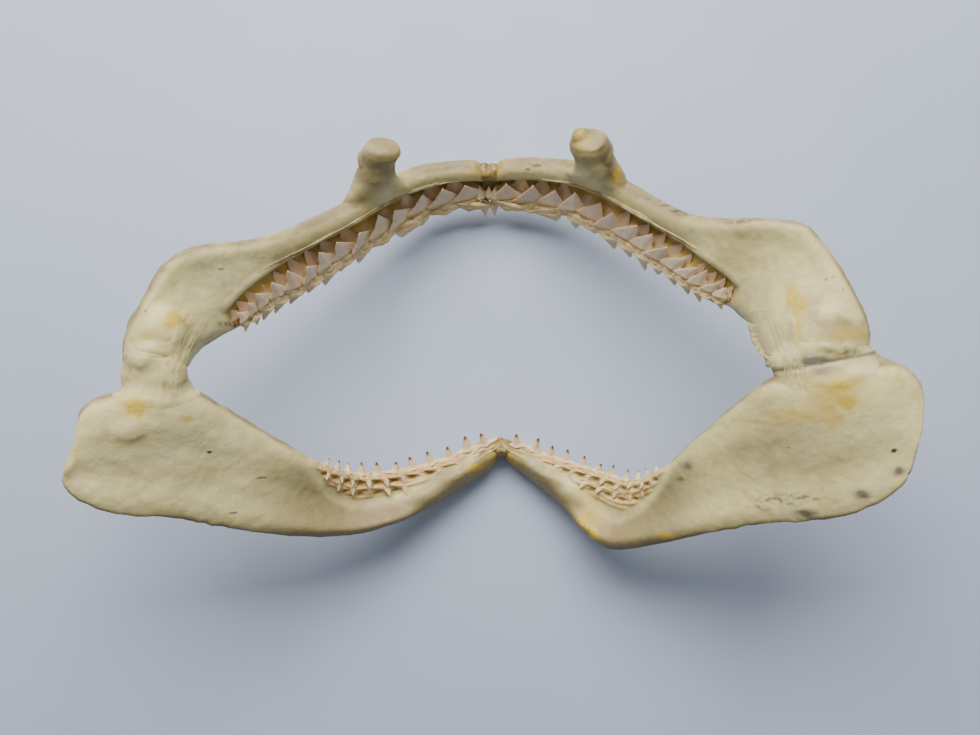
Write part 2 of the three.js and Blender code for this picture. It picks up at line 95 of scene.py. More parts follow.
LOWER_RIGHT = (
    ((4, -41.5, 10), (4, -53, 8)), ((21, -45.5, 11), (18.5, -62, 8)),
    ((37, -51, 15), (31, -72, 11)), ((53, -56, 20), (43.5, -82, 15)),
    ((67, -60, 27), (54, -93.5, 23)), ((80, -62.5, 36), (68, -101.5, 34)),
    ((93.5, -54, 50), (89, -95.5, 50)), ((108.5, -34.5, 68), (111.5, -86, 67)),
    ((122.5, -17, 86), (132.5, -79, 81)), ((134, -4.5, 102), (151, -75, 92)),
    ((153, -1, 111), (167, -71.5, 100)), ((174, 2, 114), (178, -66, 105)),
    ((190, 0.5, 115), (187, -60, 108)), ((199.5, -14, 114), (192.5, -52.5, 111)),
    ((194, -38, 112), (194.5, -46, 112)),
)
# (station number, heights of the throat face, heights of the outer face on the way back)
UPPER_SECTIONS = (
    (0, (5, 6, 1.5, 2.5, 3.5, 2.5), (-3, -5, -6, -4.5)),
    (3, (5.5, 6.5, 1.5, 2.5, 3.5, 2.5), (-3, -5, -6, -5)),
    (5, (5.5, 7, 2.5, 3, 3.5, 2.5), (-3, -5, -6, -5)),
    (7, (4, 5, 5.5, 5, 3.5, 2.5), (-3, -5, -5, -4)),
    (8.5, (3.5, 2.5, 2.5, 5, 6, 3.5), (-3, -4, -4, -3)),
    (10.5, (3.5, 3, 3, 5, 6, 3.5), (-3, -4.5, -4.5, -3)),
    (12, (3.5, 5, 6, 6, 5, 3.5), (-3.5, -5, -5.5, -3.5)),
    (13, (2.5, 4, 5, 5, 4, 2.5), (-3, -4, -4, -2.5)),
)
LOWER_SECTIONS = (
    (0, (3, 7, 8.5, 7, 4, 2), (-5.5, -9.8, -10.2, -6)),
    (1, (3, 7.5, 9, 7.5, 4.5, 2), (-5.5, -9.8, -10.2, -6)),
    (2, (2.5, 6, 10.5, 9, 5.5, 3), (-4.5, -8, -8.5, -5.5)),
    (3, (2.5, 3.5, 7.5, 10, 7.5, 4), (-4, -7, -8, -5)),
    (4, (2.5, 1.5, 0.5, 4, 9, 5), (-3.5, -7, -8, -5)),
    (5.5, (2.5, 0, -1, 1.5, 6.5, 4), (-3.5, -7, -8, -5)),
    (7, (4, 5, 3, 2.5, 4, 2.5), (-2.5, -4, -5.5, -4.5)),
    (9, (6, 6, 2, 1.5, 3, 2.2), (-2.5, -4, -5, -5)),
    (11, (6, 6, 3, 1.5, 3, 2.2), (-2.5, -3.5, -5, -5)),
    (13, (3, 3.5, 3, 2.5, 2.5, 2), (-2, -3, -3, -2.5)),
    (14, (1.2, 1.6, 1.8, 1.8, 1.6, 1.2), (-1.2, -1.6, -1.6, -1.2)),
)
# Rings of an orbital process, from its foot along the bar to the cap: (centre, half width, half depth).
ORBITAL_LEFT = (
    ((-60, 94, 44), 23, 5), ((-60.5, 98, 49.5), 15.5, 7.5), ((-60.5, 102.8, 56), 10.6, 8.6),
    ((-58.5, 108.5, 61.5), 8.8, 8.6), ((-56.5, 112, 65.5), 9.8, 9), ((-55.8, 113.5, 67.5), 9, 8.2),
)
ORBITAL_RIGHT = (
    ((57, 101.5, 44), 23, 5), ((57, 104.5, 49.5), 16.5, 7.5), ((56.3, 107.4, 56), 11.4, 8.6),
    ((54, 112, 61.5), 10, 8.8), ((52, 115, 65.5), 10.8, 9.2), ((51, 117, 68), 9.8, 8.4),
)
BAR_RUN_LEFT = (0.86, 0.42, -0.28)
BAR_RUN_RIGHT = (0.86, -0.42, 0.28)


# ---------------------------------------------------------------- number helpers
def smoothstep(value: Array | float, low: float, high: float) -> Array:
    """An eased step.

    Args:
        value: Where the step is read.
        low: Where it leaves 0.
        high: Where it reaches 1.

    Returns:
        The step's height at value.
    """
    share = np.clip((np.asarray(value, float) - low) / (high - low), 0.0, 1.0)
    return share * share * (3.0 - 2.0 * share)


def fade(value: Array, low: float, high: float) -> Array:
    """An eased step down, from 1 at low to 0 at high."""
    return 1.0 - smoothstep(value, low, high)


def window(value: Array, rise: tuple[float, float], fall: tuple[float, float]) -> Array:
    """1 between two eased steps and 0 outside them.

    Args:
        value: Where the window is read.
        rise: Where it starts and ends opening.
        fall: Where it starts and ends closing.

    Returns:
        The window's height at value.
    """
    return smoothstep(value, *rise) * fade(value, *fall)


def bell(value: Array, centre: Array | float, spread: float) -> Array:
    """A bell of height 1.

    Args:
        value: Where the bell is read.
        centre: Its middle.
        spread: Distance from the middle at which it has fallen to a third.

    Returns:
        The bell's height at value.
    """
    return np.exp(-(((value - centre) / spread) ** 2))


def unit(vectors: Array) -> Array:
    """Vectors of length 1 along the given ones."""
    return vectors / np.maximum(np.linalg.norm(vectors, axis=-1, keepdims=True), 1e-12)


def catmull(points: Array, at: Array, closed: bool = False) -> Array:
    """A uniform Catmull-Rom curve through points along the first axis.

    Args:
        points: The points, one per whole number of at.
        at: Places on the curve.
        closed: Whether the last point leads back to the first.

    Returns:
        The curve's values, with at's shape in front.
    """
    at = np.asarray(at, float)
    if closed:
        padded = np.concatenate([points[-1:], points, points[:2]])
        start = np.floor(at).astype(int) % len(points)
        part = at - np.floor(at)
    else:
        padded = np.concatenate([2 * points[:1] - points[1:2], points, 2 * points[-1:] - points[-2:-1]])
        start = np.clip(np.floor(at).astype(int), 0, len(points) - 2)
        part = np.clip(at, 0, len(points) - 1) - start
    part = part.reshape(part.shape + (1,) * (points.ndim - 1))
    p0, p1, p2, p3 = (padded[start + k] for k in range(4))
    return 0.5 * (2 * p1 + (p2 - p0) * part + (2 * p0 - 5 * p1 + 4 * p2 - p3) * part**2
                  + (3 * p1 - p0 - 3 * p2 + p3) * part**3)


def lattice_noise(points: Array, cell: float, seed: int) -> Array:
    """Smooth noise between -1 and 1.

    Args:
        points: Places, three numbers each.
        cell: Size of one cell of the noise.
        seed: Number of the pattern.

    Returns:
        One value per place.
    """
    place = points / cell + seed * 7.31
    base = np.floor(place).astype(np.int64)
    ease = place - base
    ease = ease * ease * (3.0 - 2.0 * ease)
    total = np.zeros(len(points))
    for corner in itertools.product((0, 1), repeat=3):
        x, y, z = (base + np.array(corner)).T
        mixed = (x * 73856093 ^ y * 19349663 ^ z * 83492791 ^ seed * 2654435) & 0x7FFFFFFF
        mixed = ((mixed ^ (mixed >> 13)) * 1274126177) & 0x7FFFFFFF
        mixed = ((mixed ^ (mixed >> 16)) * 69069) & 0x7FFFFFFF
        weight = np.prod(np.where(np.array(corner, bool), ease, 1.0 - ease), axis=1)
        total += weight * (mixed / 0x7FFFFFFF)
    return total * 2.0 - 1.0


def rough_noise(points: Array, cell: float, seed: int, octaves: int = 3) -> Array:
    """Noise of several sizes added up, each half the size and half the height of the last.

    Args:
        points: Places, three numbers each.
        cell: Size of the largest cells.
        seed: Number of the pattern.
        octaves: How many sizes are added.

    Returns:
        One value per place, mostly between -1 and 1.
    """
    return sum(lattice_noise(points, cell / 2**k, seed + k) / 2**k for k in range(octaves)) / 1.6


# ---------------------------------------------------------------- mesh helpers
@dataclass
class Skin:
    """A surface in millimetres: its points and its faces."""

    points: Array
    faces: list[tuple[int, ...]] | Array

    def normals(self) -> Array:
        """Area-weighted normals of the points."""
        corners = [(*f[:3],) for f in self.faces] + [(f[0], f[2], f[3]) for f in self.faces if len(f) > 3]
        corners = np.array(corners).T
        a, b, c = self.points[corners]
        cross = np.cross(b - a, c - a)
        total = np.zeros_like(self.points)
        for corner in corners:
            np.add.at(total, corner, cross)
        return unit(total)

    def edges(self) -> Array:
        """Pairs of neighbouring points, each once."""
        quads = np.array([f if len(f) == 4 else (*f, f[0]) for f in self.faces])
        pairs = np.concatenate([quads[:, [k, (k + 1) % 4]] for k in range(4)])
        pairs = np.unique(np.sort(pairs, axis=1), axis=0)
        return pairs[pairs[:, 0] != pairs[:, 1]]


def relax(values: Array, edges: Array, steps: int, weight: Array | float = 1.0) -> Array:
    """Values evened out between neighbours.

    Args:
        values: One row per point.
        edges: Pairs of neighbouring points.
        steps: How often it is done.
        weight: How far each point may follow, from 0 to 1.

    Returns:
        The evened values.
    """
    near, far = edges.T
    size = len(values)
    count = np.maximum(np.bincount(edges.ravel(), minlength=size), 1)[:, None]
    follow = 0.5 * np.broadcast_to(weight, size)[:, None]
    for _ in range(steps):
        total = np.stack([np.bincount(near, column[far], size) + np.bincount(far, column[near], size)
                          for column in values.T], -1)
        values = values + follow * (total / count - values)
    return values


def draw_over(skin: Skin, steps: int, rounds: int, weight: Array) -> Array:
    """Draws a skin over its hollows like a drying membrane, and leaves its crests.

    Args:
        skin: The skin.
        steps: Smoothing steps in a round.
        rounds: How often the skin is evened and measured again.
        weight: How far each point may follow, from 0 to 1.

    Returns:
        The moved points.
    """
    chosen = np.flatnonzero(weight > 0.0)
    number = np.full(len(skin.points), -1)
    number[chosen] = np.arange(len(chosen))
    edges = number[skin.edges()]
    edges = edges[(edges >= 0).all(1)]
    points = skin.points.copy()
    for _ in range(rounds):
        normals = Skin(points, skin.faces).normals()[chosen]
        evened = relax(points[chosen], edges, steps, weight[chosen])
        shift = evened - points[chosen]
        points[chosen] += smoothstep(np.einsum("ij,ij->i", shift, normals), 0.0, 0.12)[:, None] * shift
    return points


def loft(rings: Array) -> Skin:
    """A closed skin over rings, with a fan at each end.

    Args:
        rings: Rings, points per ring, three numbers.

    Returns:
        The skin, facing outwards.
    """
    rows, count, _ = rings.shape
    grid = np.arange(rows * count).reshape(rows, count)
    turned = np.roll(grid, -1, axis=1)
    faces = [tuple(f) for f in np.stack([grid[:-1], turned[:-1], turned[1:], grid[1:]], -1).reshape(-1, 4)]
    points = np.concatenate([rings.reshape(-1, 3), rings[0].mean(0)[None], rings[-1].mean(0)[None]])
    hub = rows * count
    faces += [(hub, turned[0, j], grid[0, j]) for j in range(count)]
    faces += [(hub + 1, grid[-1, j], turned[-1, j]) for j in range(count)]
    skin = Skin(points, faces)
    centre = points.mean(0)
    a, b, c = (points[[f[k] for f in faces[::7]]] - centre for k in range(3))
    volume = np.einsum("ij,ij->", a, np.cross(b, c))
    if volume < 0:
        skin.faces = [tuple(reversed(f)) for f in faces]
    return skin


def in_metres(points: Array) -> list[list[float]]:
    """Places in millimetres, taken to the part's own origin and to metres."""
    return ((points - MIDDLE) * MM).tolist()


def put_in_scene(name: str, data: bpy.types.ID) -> bpy.types.Object:
    """A new object in the scene, with the given data."""
    made = bpy.data.objects.new(name, data)
    bpy.context.scene.collection.objects.link(made)
    return made


def new_mesh(name: str, skin: Skin, scalars: dict[str, Array] | None = None,
             colours: dict[str, Array] | None = None) -> bpy.types.Object:
    """A mesh object in the part's frame, in metres.

    Args:
        name: The object's name.
        skin: Its surface, in millimetres.
        scalars: Numbers per point, by attribute name.
        colours: Three numbers per point, by attribute name.

    Returns:
        The new object, at the origin.
    """
    mesh = bpy.data.meshes.new(name)
    faces = skin.faces.tolist() if isinstance(skin.faces, np.ndarray) else skin.faces
    mesh.from_pydata(in_metres(skin.points), [], faces)
    for key, values in (scalars or {}).items():
        mesh.attributes.new(key, "FLOAT", "POINT").data.foreach_set("value", np.asarray(values, np.float32))
    for key, values in (colours or {}).items():
        four = np.ones((len(values), 4), np.float32)
        four[:, :3] = values
        mesh.attributes.new(key, "FLOAT_COLOR", "POINT").data.foreach_set("color", four.ravel())
    mesh.shade_smooth()
    return put_in_scene(name, mesh)


def read_skin(mesh: bpy.types.Mesh) -> Skin:
    """The surface of a Blender mesh, in millimetres."""
    points = np.empty(len(mesh.vertices) * 3)
    mesh.vertices.foreach_get("co", points)
    return Skin(points.reshape(-1, 3) / MM + MIDDLE, [tuple(p.vertices) for p in mesh.polygons])


def evaluated(obj: bpy.types.Object) -> bpy.types.Mesh:
    """A plain mesh of what an object's modifiers make."""
    graph = bpy.context.evaluated_depsgraph_get()
    graph.update()
    return bpy.data.meshes.new_from_object(obj.evaluated_get(graph), preserve_all_data_layers=True,
                                           depsgraph=graph)


def discard(*objects: bpy.types.Object) -> None:
    """Removes helper objects and their meshes."""
    for obj in objects:
        data = obj.data
        bpy.data.objects.remove(obj)
        if isinstance(data, bpy.types.Mesh) and data.users == 0:
            bpy.data.meshes.remove(data)


def thick_sheet(name: str, skin: Skin, thickness: float,
                colours: dict[str, Array] | None = None) -> bpy.types.Object:
    """A sheet with its thickness under its surface.

    Args:
        name: The object's name.
        skin: Its surface.
        thickness: Its thickness in millimetres.
        colours: Three numbers per point, by attribute name.

    Returns:
        The new object.
    """
    sheet = new_mesh(name, skin, colours=colours)
    thicken = sheet.modifiers.new("thickness", "SOLIDIFY")
    thicken.thickness = thickness * MM
    thicken.offset = -1.0
    mesh = evaluated(sheet)
    discard(sheet)
    mesh.name = name
    return put_in_scene(name, mesh)


def nearest_points(points: Array, places: Array, count: int = 1) -> Array:
    """Numbers of the points nearest to places.

    Args:
        points: The points that are searched.
        places: The places.
        count: How many points are wanted for each place.

    Returns:
        One row per place.
    """
    tree = KDTree(len(points))
    for index, point in enumerate(points.tolist()):
        tree.insert(point, index)
    tree.balance()
    return np.array([[hit[1] for hit in tree.find_n(place, count)] for place in places.tolist()])


def melt_together(skins: Sequence[Skin], voxel: float) -> Skin:
    """One even skin round several that overlap.

    Args:
        skins: The skins to join.
        voxel: Size of the new faces in millimetres.

    Returns:
        The joined skin.
    """
    shift, faces = 0, []
    for skin in skins:
        faces += [tuple(int(i) + shift for i in f) for f in skin.faces]
        shift += len(skin.points)
    helper = new_mesh("melt", Skin(np.concatenate([s.points for s in skins]), faces))
    remesh = helper.modifiers.new("even", "REMESH")
    remesh.mode = "VOXEL"
    remesh.voxel_size = voxel * MM
    mesh = evaluated(helper)
    joined = read_skin(mesh)
    bpy.data.meshes.remove(mesh)
    discard(helper)
    return joined


def finish_piece(obj: bpy.types.Object, finish: "Finish", slot: str, *nodes: str) -> bpy.types.Object:
    """Gives a finished piece its material and its body, and hides the solids it stands for.

    Args:
        obj: The piece, with no modifiers left.
        finish: What it is made of.
        slot: Not used.
        nodes: Solids that it replaces.

    Returns:
        The piece.
    """
    obj.data.materials.clear()
    obj.data.materials.append(finish.material())
    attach(obj, "root")
    if nodes:
        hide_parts(*nodes)
    obj.data.calc_loop_triangles()
    LOG.info("%s: %d triangles", obj.name, len(obj.data.loop_triangles))
    return obj


# ---------------------------------------------------------------- node helpers
Socket = Any


class Nodes:
    """Writes a node tree: each method adds a node and gives back its output socket."""

    def __init__(self, tree: bpy.types.NodeTree) -> None:
        """Starts on an empty tree."""
        self.tree = tree
        tree.nodes.clear()

    def add(self, kind: str, inputs: dict[str | int, Any] | None = None, **settings: Any) -> bpy.types.Node:
        """Adds a node.

        Args:
            kind: Blender's name of the node type.
            inputs: Sockets to join, or values to set, by input name or number.
            settings: Properties of the node.

        Returns:
            The node.
        """
        node = self.tree.nodes.new(kind)
        for key, value in settings.items():
            setattr(node, key, value)
        for key, value in (inputs or {}).items():
            if isinstance(value, bpy.types.NodeSocket):
                self.tree.links.new(value, node.inputs[key])
            else:
                node.inputs[key].default_value = value
        return node

    def attribute(self, name: str) -> bpy.types.Node:
        """Reads an attribute of the mesh."""
        return self.add("ShaderNodeAttribute", attribute_name=name)

    def layers(self, name: str) -> tuple[Socket, Socket, Socket]:
        """Reads the three layers kept in one colour attribute."""
        split = self.add("ShaderNodeSeparateColor", {"Color": self.attribute(name).outputs["Color"]})
        return split.outputs[0], split.outputs[1], split.outputs[2]

    def place(self, scale: tuple[float, float, float] = (1, 1, 1), turn: float = 0.0) -> Socket:
        """Object coordinates, stretched and turned about Z."""
        coordinates = self.add("ShaderNodeTexCoord").outputs["Object"]
        return self.add("ShaderNodeMapping", {"Vector": coordinates, "Scale": scale,
                                              "Rotation": (0, 0, turn)}).outputs["Vector"]

    def noise(self, scale: float, detail: float = 3.0, where: Socket | None = None,
              distortion: float = 0.0) -> Socket:
        """A noise pattern between 0 and 1."""
        inputs = {"Vector": where if where is not None else self.place(), "Scale": scale, "Detail": detail,
                  "Distortion": distortion}
        return self.add("ShaderNodeTexNoise", inputs).outputs["Fac"]

    def cells(self, scale: float) -> Socket:
        """Distance to the nearest of scattered points."""
        inputs = {"Vector": self.place(), "Scale": scale, "Randomness": 1.0}
        return self.add("ShaderNodeTexVoronoi", inputs).outputs["Distance"]

    def math(self, operation: str, a: Socket | float, b: Socket | float = 0.0, clamp: bool = False) -> Socket:
        """One sum."""
        return self.add("ShaderNodeMath", {0: a, 1: b}, operation=operation, use_clamp=clamp).outputs[0]

    def ramp(self, value: Socket, low: float, high: float, to_low: float = 0.0,
             to_high: float = 1.0) -> Socket:
        """A value taken from one range to another, held at the ends."""
        return self.add("ShaderNodeMapRange", {"Value": value, "From Min": low, "From Max": high,
                                               "To Min": to_low, "To Max": to_high},
                        interpolation_type="SMOOTHSTEP").outputs["Result"]

    def mix(self, share: Socket | float, a: Any, b: Any, blend: str = "MIX") -> Socket:
        """Two colours mixed."""
        node = self.add("ShaderNodeMix", data_type="RGBA", blend_type=blend)
        for index, value in ((0, share), (6, a), (7, b)):
            if isinstance(value, bpy.types.NodeSocket):
                self.tree.links.new(value, node.inputs[index])
            elif index:
                node.inputs[index].default_value = (*value, 1.0)
            else:
                node.inputs[index].default_value = value
        return node.outputs[2]

    def bump(self, height: Socket, strength: float, distance: float, under: Socket | None = None) -> Socket:
        """A bump from a height pattern, on top of another."""
        inputs: dict[str | int, Any] = {"Height": height, "Strength": strength, "Distance": distance}
        if under is not None:
            inputs["Normal"] = under
        return self.add("ShaderNodeBump", inputs).outputs["Normal"]

    def surface(self, colour: Socket, roughness: Socket, normal: Socket, **values: Any) -> None:
        """Ends a material in one Principled shader.

        Args:
            colour: Base colour.
            roughness: Roughness.
            normal: Bumped normal.
            values: Constant values of other inputs, with spaces written as underscores.
        """
        inputs: dict[str | int, Any] = {"Base Color": colour, "Roughness": roughness, "Normal": normal,
                                        "Subsurface Scale": 1.0}
        inputs |= {key.replace("_", " "): value for key, value in values.items()}
        shader = self.add("ShaderNodeBsdfPrincipled", inputs)
        self.add("ShaderNodeOutputMaterial", {"Surface": shader.outputs[0]})


Colour = tuple[float, float, float]


@dataclass(frozen=True)
class Finish:
    """What a surface is made of."""

    name: str

    def material(self) -> bpy.types.Material:
        """The finish's material, made once."""
        known = bpy.data.materials.get(self.name)
        if known:
            return known
        made = bpy.data.materials.new(self.name)
        made.use_nodes = True
        self.write(Nodes(made.node_tree))
        return made

    def write(self, nodes: Nodes) -> None:
        """Writes the material's nodes."""
        raise NotImplementedError


@dataclass(frozen=True)
class CartilageFinish(Finish):
    """Dried cartilage, coloured by the paint layers of its mesh: stains, painted shade and painted light."""

    name: str = "dried_cartilage"
    ivory: Colour = (0.64, 0.545, 0.22)
    # The pale tone also serves as painted light where the cartilage lies in shade.
    pale: Colour = (0.77, 0.68, 0.35)
    # The tan tone also serves as painted shade on faces that turn away from the light.
    tan: Colour = (0.15, 0.11, 0.037)
    brown: Colour = (0.09, 0.04, 0.01)
    gold: Colour = (0.52, 0.345, 0.0)
    rose: Colour = (0.22, 0.10, 0.04)
    grey: Colour = (0.045, 0.032, 0.04)
    speck: Colour = (0.035, 0.022, 0.015)
    gum: Colour = (0.68, 0.47, 0.22)
    rim: Colour = (0.11, 0.065, 0.015)
    fibre_strength: float = 0.0

    def write(self, nodes: Nodes) -> None:
        """Ivory ground, then the tan layer with its painted shade, the other marks, the pale layer with its
        painted light, rims and specks over it.
        """
        tan, brown, gold = nodes.layers("paint_a")
        pale, rose, grey = nodes.layers("paint_b")
        dark, gum, rim = nodes.layers("paint_c")
        broad = nodes.noise(38, 4, distortion=0.6)
        fine = nodes.noise(420, 4)
        colour = nodes.mix(nodes.ramp(broad, 0.3, 0.72, 0.0, 0.55), self.ivory, self.pale)
        mottle = nodes.ramp(nodes.noise(120, 5, distortion=1.2), 0.42, 0.75, 0.0, 0.2)
        colour = nodes.mix(mottle, colour, self.tan)
        # Among these layers the tan one also lays painted shade and the pale one painted light, besides their
        # own tones.
        for layer, tone, strength in ((tan, self.tan, 0.9), (pale, self.pale, 0.8), (rim, self.rim, 0.85),
                                      (gum, self.gum, 0.95), (rose, self.rose, 0.75), (gold, self.gold, 0.98),
                                      (brown, self.brown, 0.9), (grey, self.grey, 0.95)):
            uneven = nodes.ramp(fine, 0.25, 0.7, 0.72 * strength, 1.08 * strength)
            broken = nodes.math("MULTIPLY", layer, uneven, True)
            colour = nodes.mix(broken, colour, tone)
        pinprick = nodes.ramp(nodes.cells(190.0), 0.05, 0.085, 1.0, 0.0)
        sparse = nodes.ramp(nodes.noise(55, 2), 0.56, 0.66)
        pinprick = nodes.math("MULTIPLY", pinprick, nodes.math("MULTIPLY", sparse, 0.6))
        colour = nodes.mix(nodes.math("MAXIMUM", dark, pinprick), colour, self.speck)
        colour = nodes.mix(nodes.ramp(fine, 0.3, 0.75, 0.0, 0.16), colour, (0.82, 0.74, 0.45))
        normal = nodes.bump(nodes.cells(850.0), 0.10, 0.0003)
        normal = nodes.bump(nodes.noise(260, 5, distortion=0.4), 0.34, 0.001, normal)
        if self.fibre_strength:
            strands = nodes.noise(1.0, 3, nodes.place((1900, 90, 200), 0.12))
            normal = nodes.bump(strands, self.fibre_strength, 0.0008, normal)
        rough = nodes.ramp(fine, 0.2, 0.8, 0.40, 0.58)
        nodes.surface(colour, rough, normal,
                      Subsurface_Weight=0.12, Subsurface_Radius=(0.005, 0.003, 0.0014),
                      Specular_IOR_Level=0.36, Coat_Weight=0.04, Coat_Roughness=0.35)


@dataclass(frozen=True)
class ToothFinish(Finish):
    """Enamel on the crown and dull yellowish dentine on the root."""

    name: str = "tooth"
    enamel: Colour = (0.80, 0.63, 0.43)
    stained: Colour = (0.66, 0.47, 0.26)
    root: Colour = (0.68, 0.48, 0.22)
    tip: Colour = (0.07, 0.04, 0.02)
    tip_amount: float = 0.0

    def write(self, nodes: Nodes) -> None:
        """Crown and root by the height kept on the tooth, and a worn dark tip where it has one."""
        height = nodes.attribute("height").outputs["Fac"]
        tint = nodes.attribute("tint").outputs["Fac"]
        fine = nodes.noise(900, 4)
        patches = nodes.ramp(nodes.noise(260, 3, distortion=0.8), 0.4, 0.72, 0.0, 0.5)
        colour = nodes.mix(patches, self.enamel, self.stained)
        colour = nodes.mix(nodes.math("MULTIPLY", tint, 0.35), colour, self.stained)
        jitter = nodes.math("ADD", height, nodes.math("MULTIPLY", fine, 0.22))
        colour = nodes.mix(nodes.ramp(jitter, 0.02, 0.3, 1.0, 0.0), colour, self.root)
        if self.tip_amount:
            colour = nodes.mix(nodes.ramp(jitter, 0.72, 0.98, 0.0, self.tip_amount), colour, self.tip)
        normal = nodes.bump(fine, 0.12, 0.0003)
        rough = nodes.ramp(jitter, 0.05, 0.4, 0.5, 0.27)
        nodes.surface(colour, rough, normal,
                      Subsurface_Weight=0.1, Subsurface_Radius=(0.003, 0.002, 0.001),
                      Specular_IOR_Level=0.5)


@dataclass(frozen=True)
class TwoToneFinish(Finish):
    """Soft patches of a second tone on a first.

    patches holds scale, detail, distortion and range of the patches; grain scale, detail, strength
    and depth of the bumps; gloss scale and detail of the roughness and its range; glow the weight
    and radius of the light that passes through.
    """

    light: Colour
    shade: Colour
    patches: tuple[float, float, float, float, float]
    grain: tuple[float, float, float, float]
    gloss: tuple[float, float, float, float]
    glow: tuple[float, Colour]
    specular: float = 0.5

    def write(self, nodes: Nodes) -> None:
        """Patches, then grain and roughness."""
        scale, detail, distortion, low, high = self.patches
        patches = nodes.ramp(nodes.noise(scale, detail, distortion=distortion), low, high)
        colour = nodes.mix(patches, self.light, self.shade)
        scale, detail, strength, depth = self.grain
        normal = nodes.bump(nodes.noise(scale, detail), strength, depth)
        scale, detail, low, high = self.gloss
        rough = nodes.ramp(nodes.noise(scale, detail), 0.3, 0.7, low, high)
        nodes.surface(colour, rough, normal, Subsurface_Weight=self.glow[0],
                      Subsurface_Radius=self.glow[1], Specular_IOR_Level=self.specular)


STRAND = TwoToneFinish("dried_strand", (0.64, 0.53, 0.27), (0.40, 0.28, 0.10), (150, 3, 0.0, 0.35, 0.65),
                       (1500, 3, 0.2, 0.0003), (400, 2, 0.4, 0.6), (0.1, (0.002, 0.001, 0.0005)))
PALE_STRAND = replace(STRAND, name="pale_strand", light=(0.62, 0.53, 0.25), shade=(0.42, 0.33, 0.13))
CHIN_STRAND = replace(STRAND, name="chin_strand", light=(0.46, 0.36, 0.13), shade=(0.24, 0.15, 0.03))
GRISTLE = TwoToneFinish("gristle", (0.30, 0.215, 0.06), (0.19, 0.10, 0.012), (210, 4, 1.0, 0.38, 0.68),
                        (500, 5, 0.35, 0.0006), (300, 2, 0.32, 0.5), (0.25, (0.004, 0.0022, 0.0008)))
TABLE_TOP = TwoToneFinish("table_top", (0.42, 0.47, 0.60), (0.441, 0.4935, 0.63), (6, 4, 0.0, 0.3, 0.7),
                          (700, 3, 0.03, 0.0003), (30, 3, 0.5, 0.6), (0.0, (1.0, 0.2, 0.1)), specular=0.3)


# ---------------------------------------------------------------- stains, painted shade and painted light
class StainAndShading(Enum):
    """Kinds of mark on the cartilage, each a layer of the paint attributes; the tan layer also paints shade
    and the pale layer also paints light.
    """

    TAN = 0
    BROWN = 1
    GOLD = 2
    PALE = 3
    ROSE = 4
    GREY = 5
    DARK = 6
    GUM = 7
    RIM = 8


MARK_BOOST = {StainAndShading.TAN: 0.6, StainAndShading.GOLD: 1.5, StainAndShading.BROWN: 1.7, StainAndShading.GREY: 1.6}


@dataclass(frozen=True)
class Mark:
    """A mark on the throat side, a real stain or a patch of painted shade or light: kind, middle in X and Y,
    half sizes and strength.
    """

    kind: StainAndShading
    x: float
    y: float
    half_x: float
    half_y: float
    strength: float

    def read(self, points: Array) -> Array:
        """The mark's strength at points.

        Args:
            points: Places in millimetres.

        Returns:
            One strength per place.
        """
        wander = min(self.half_x, self.half_y) * 0.45
        x = points[:, 0] + wander * lattice_noise(points, 4.0, 5)
        y = points[:, 1] + wander * lattice_noise(points, 4.0, 6)
        away = ((x - self.x) / self.half_x) ** 2 + ((y - self.y) / self.half_y) ** 2
        if self.kind is StainAndShading.DARK:
            return self.strength * fade(np.sqrt(away), 0.6, 1.35)
        if self.kind is StainAndShading.BROWN:
            away = away + 1.5 * smoothstep(lattice_noise(points, 1.3, 7), -0.2, 0.4)
        return self.strength * MARK_BOOST.get(self.kind, 1.0) * np.exp(-(away**1.4))


def add_paint_layer(layers: Array, stain: StainAndShading, strength: Array) -> None:
    """Brings one layer up to a strength wherever it is below it."""
    np.maximum(layers[:, stain.value], strength, out=layers[:, stain.value])


def paint_layers(points: Array, normals: Array, marks: Sequence[Mark]) -> Array:
    """The nine paint layers that marks leave on the throat side.

    Args:
        points: Places in millimetres.
        normals: Their normals.
        marks: The stains and the patches of painted shade and light.

    Returns:
        Nine columns, in the order of Stain.
    """
    layers = np.zeros((len(points), len(StainAndShading)))
    lit = smoothstep(normals[:, 2], -0.1, 0.25)
    for mark in marks:
        add_paint_layer(layers, mark.kind, mark.read(points) * lit)
    return layers


def paint_attributes(layers: Array) -> dict[str, Array]:
    """The paint layers as the three colour attributes that the finish reads."""
    layers = np.clip(layers, 0.0, 1.0)
    return {"paint_a": layers[:, 0:3], "paint_b": layers[:, 3:6], "paint_c": layers[:, 6:9]}


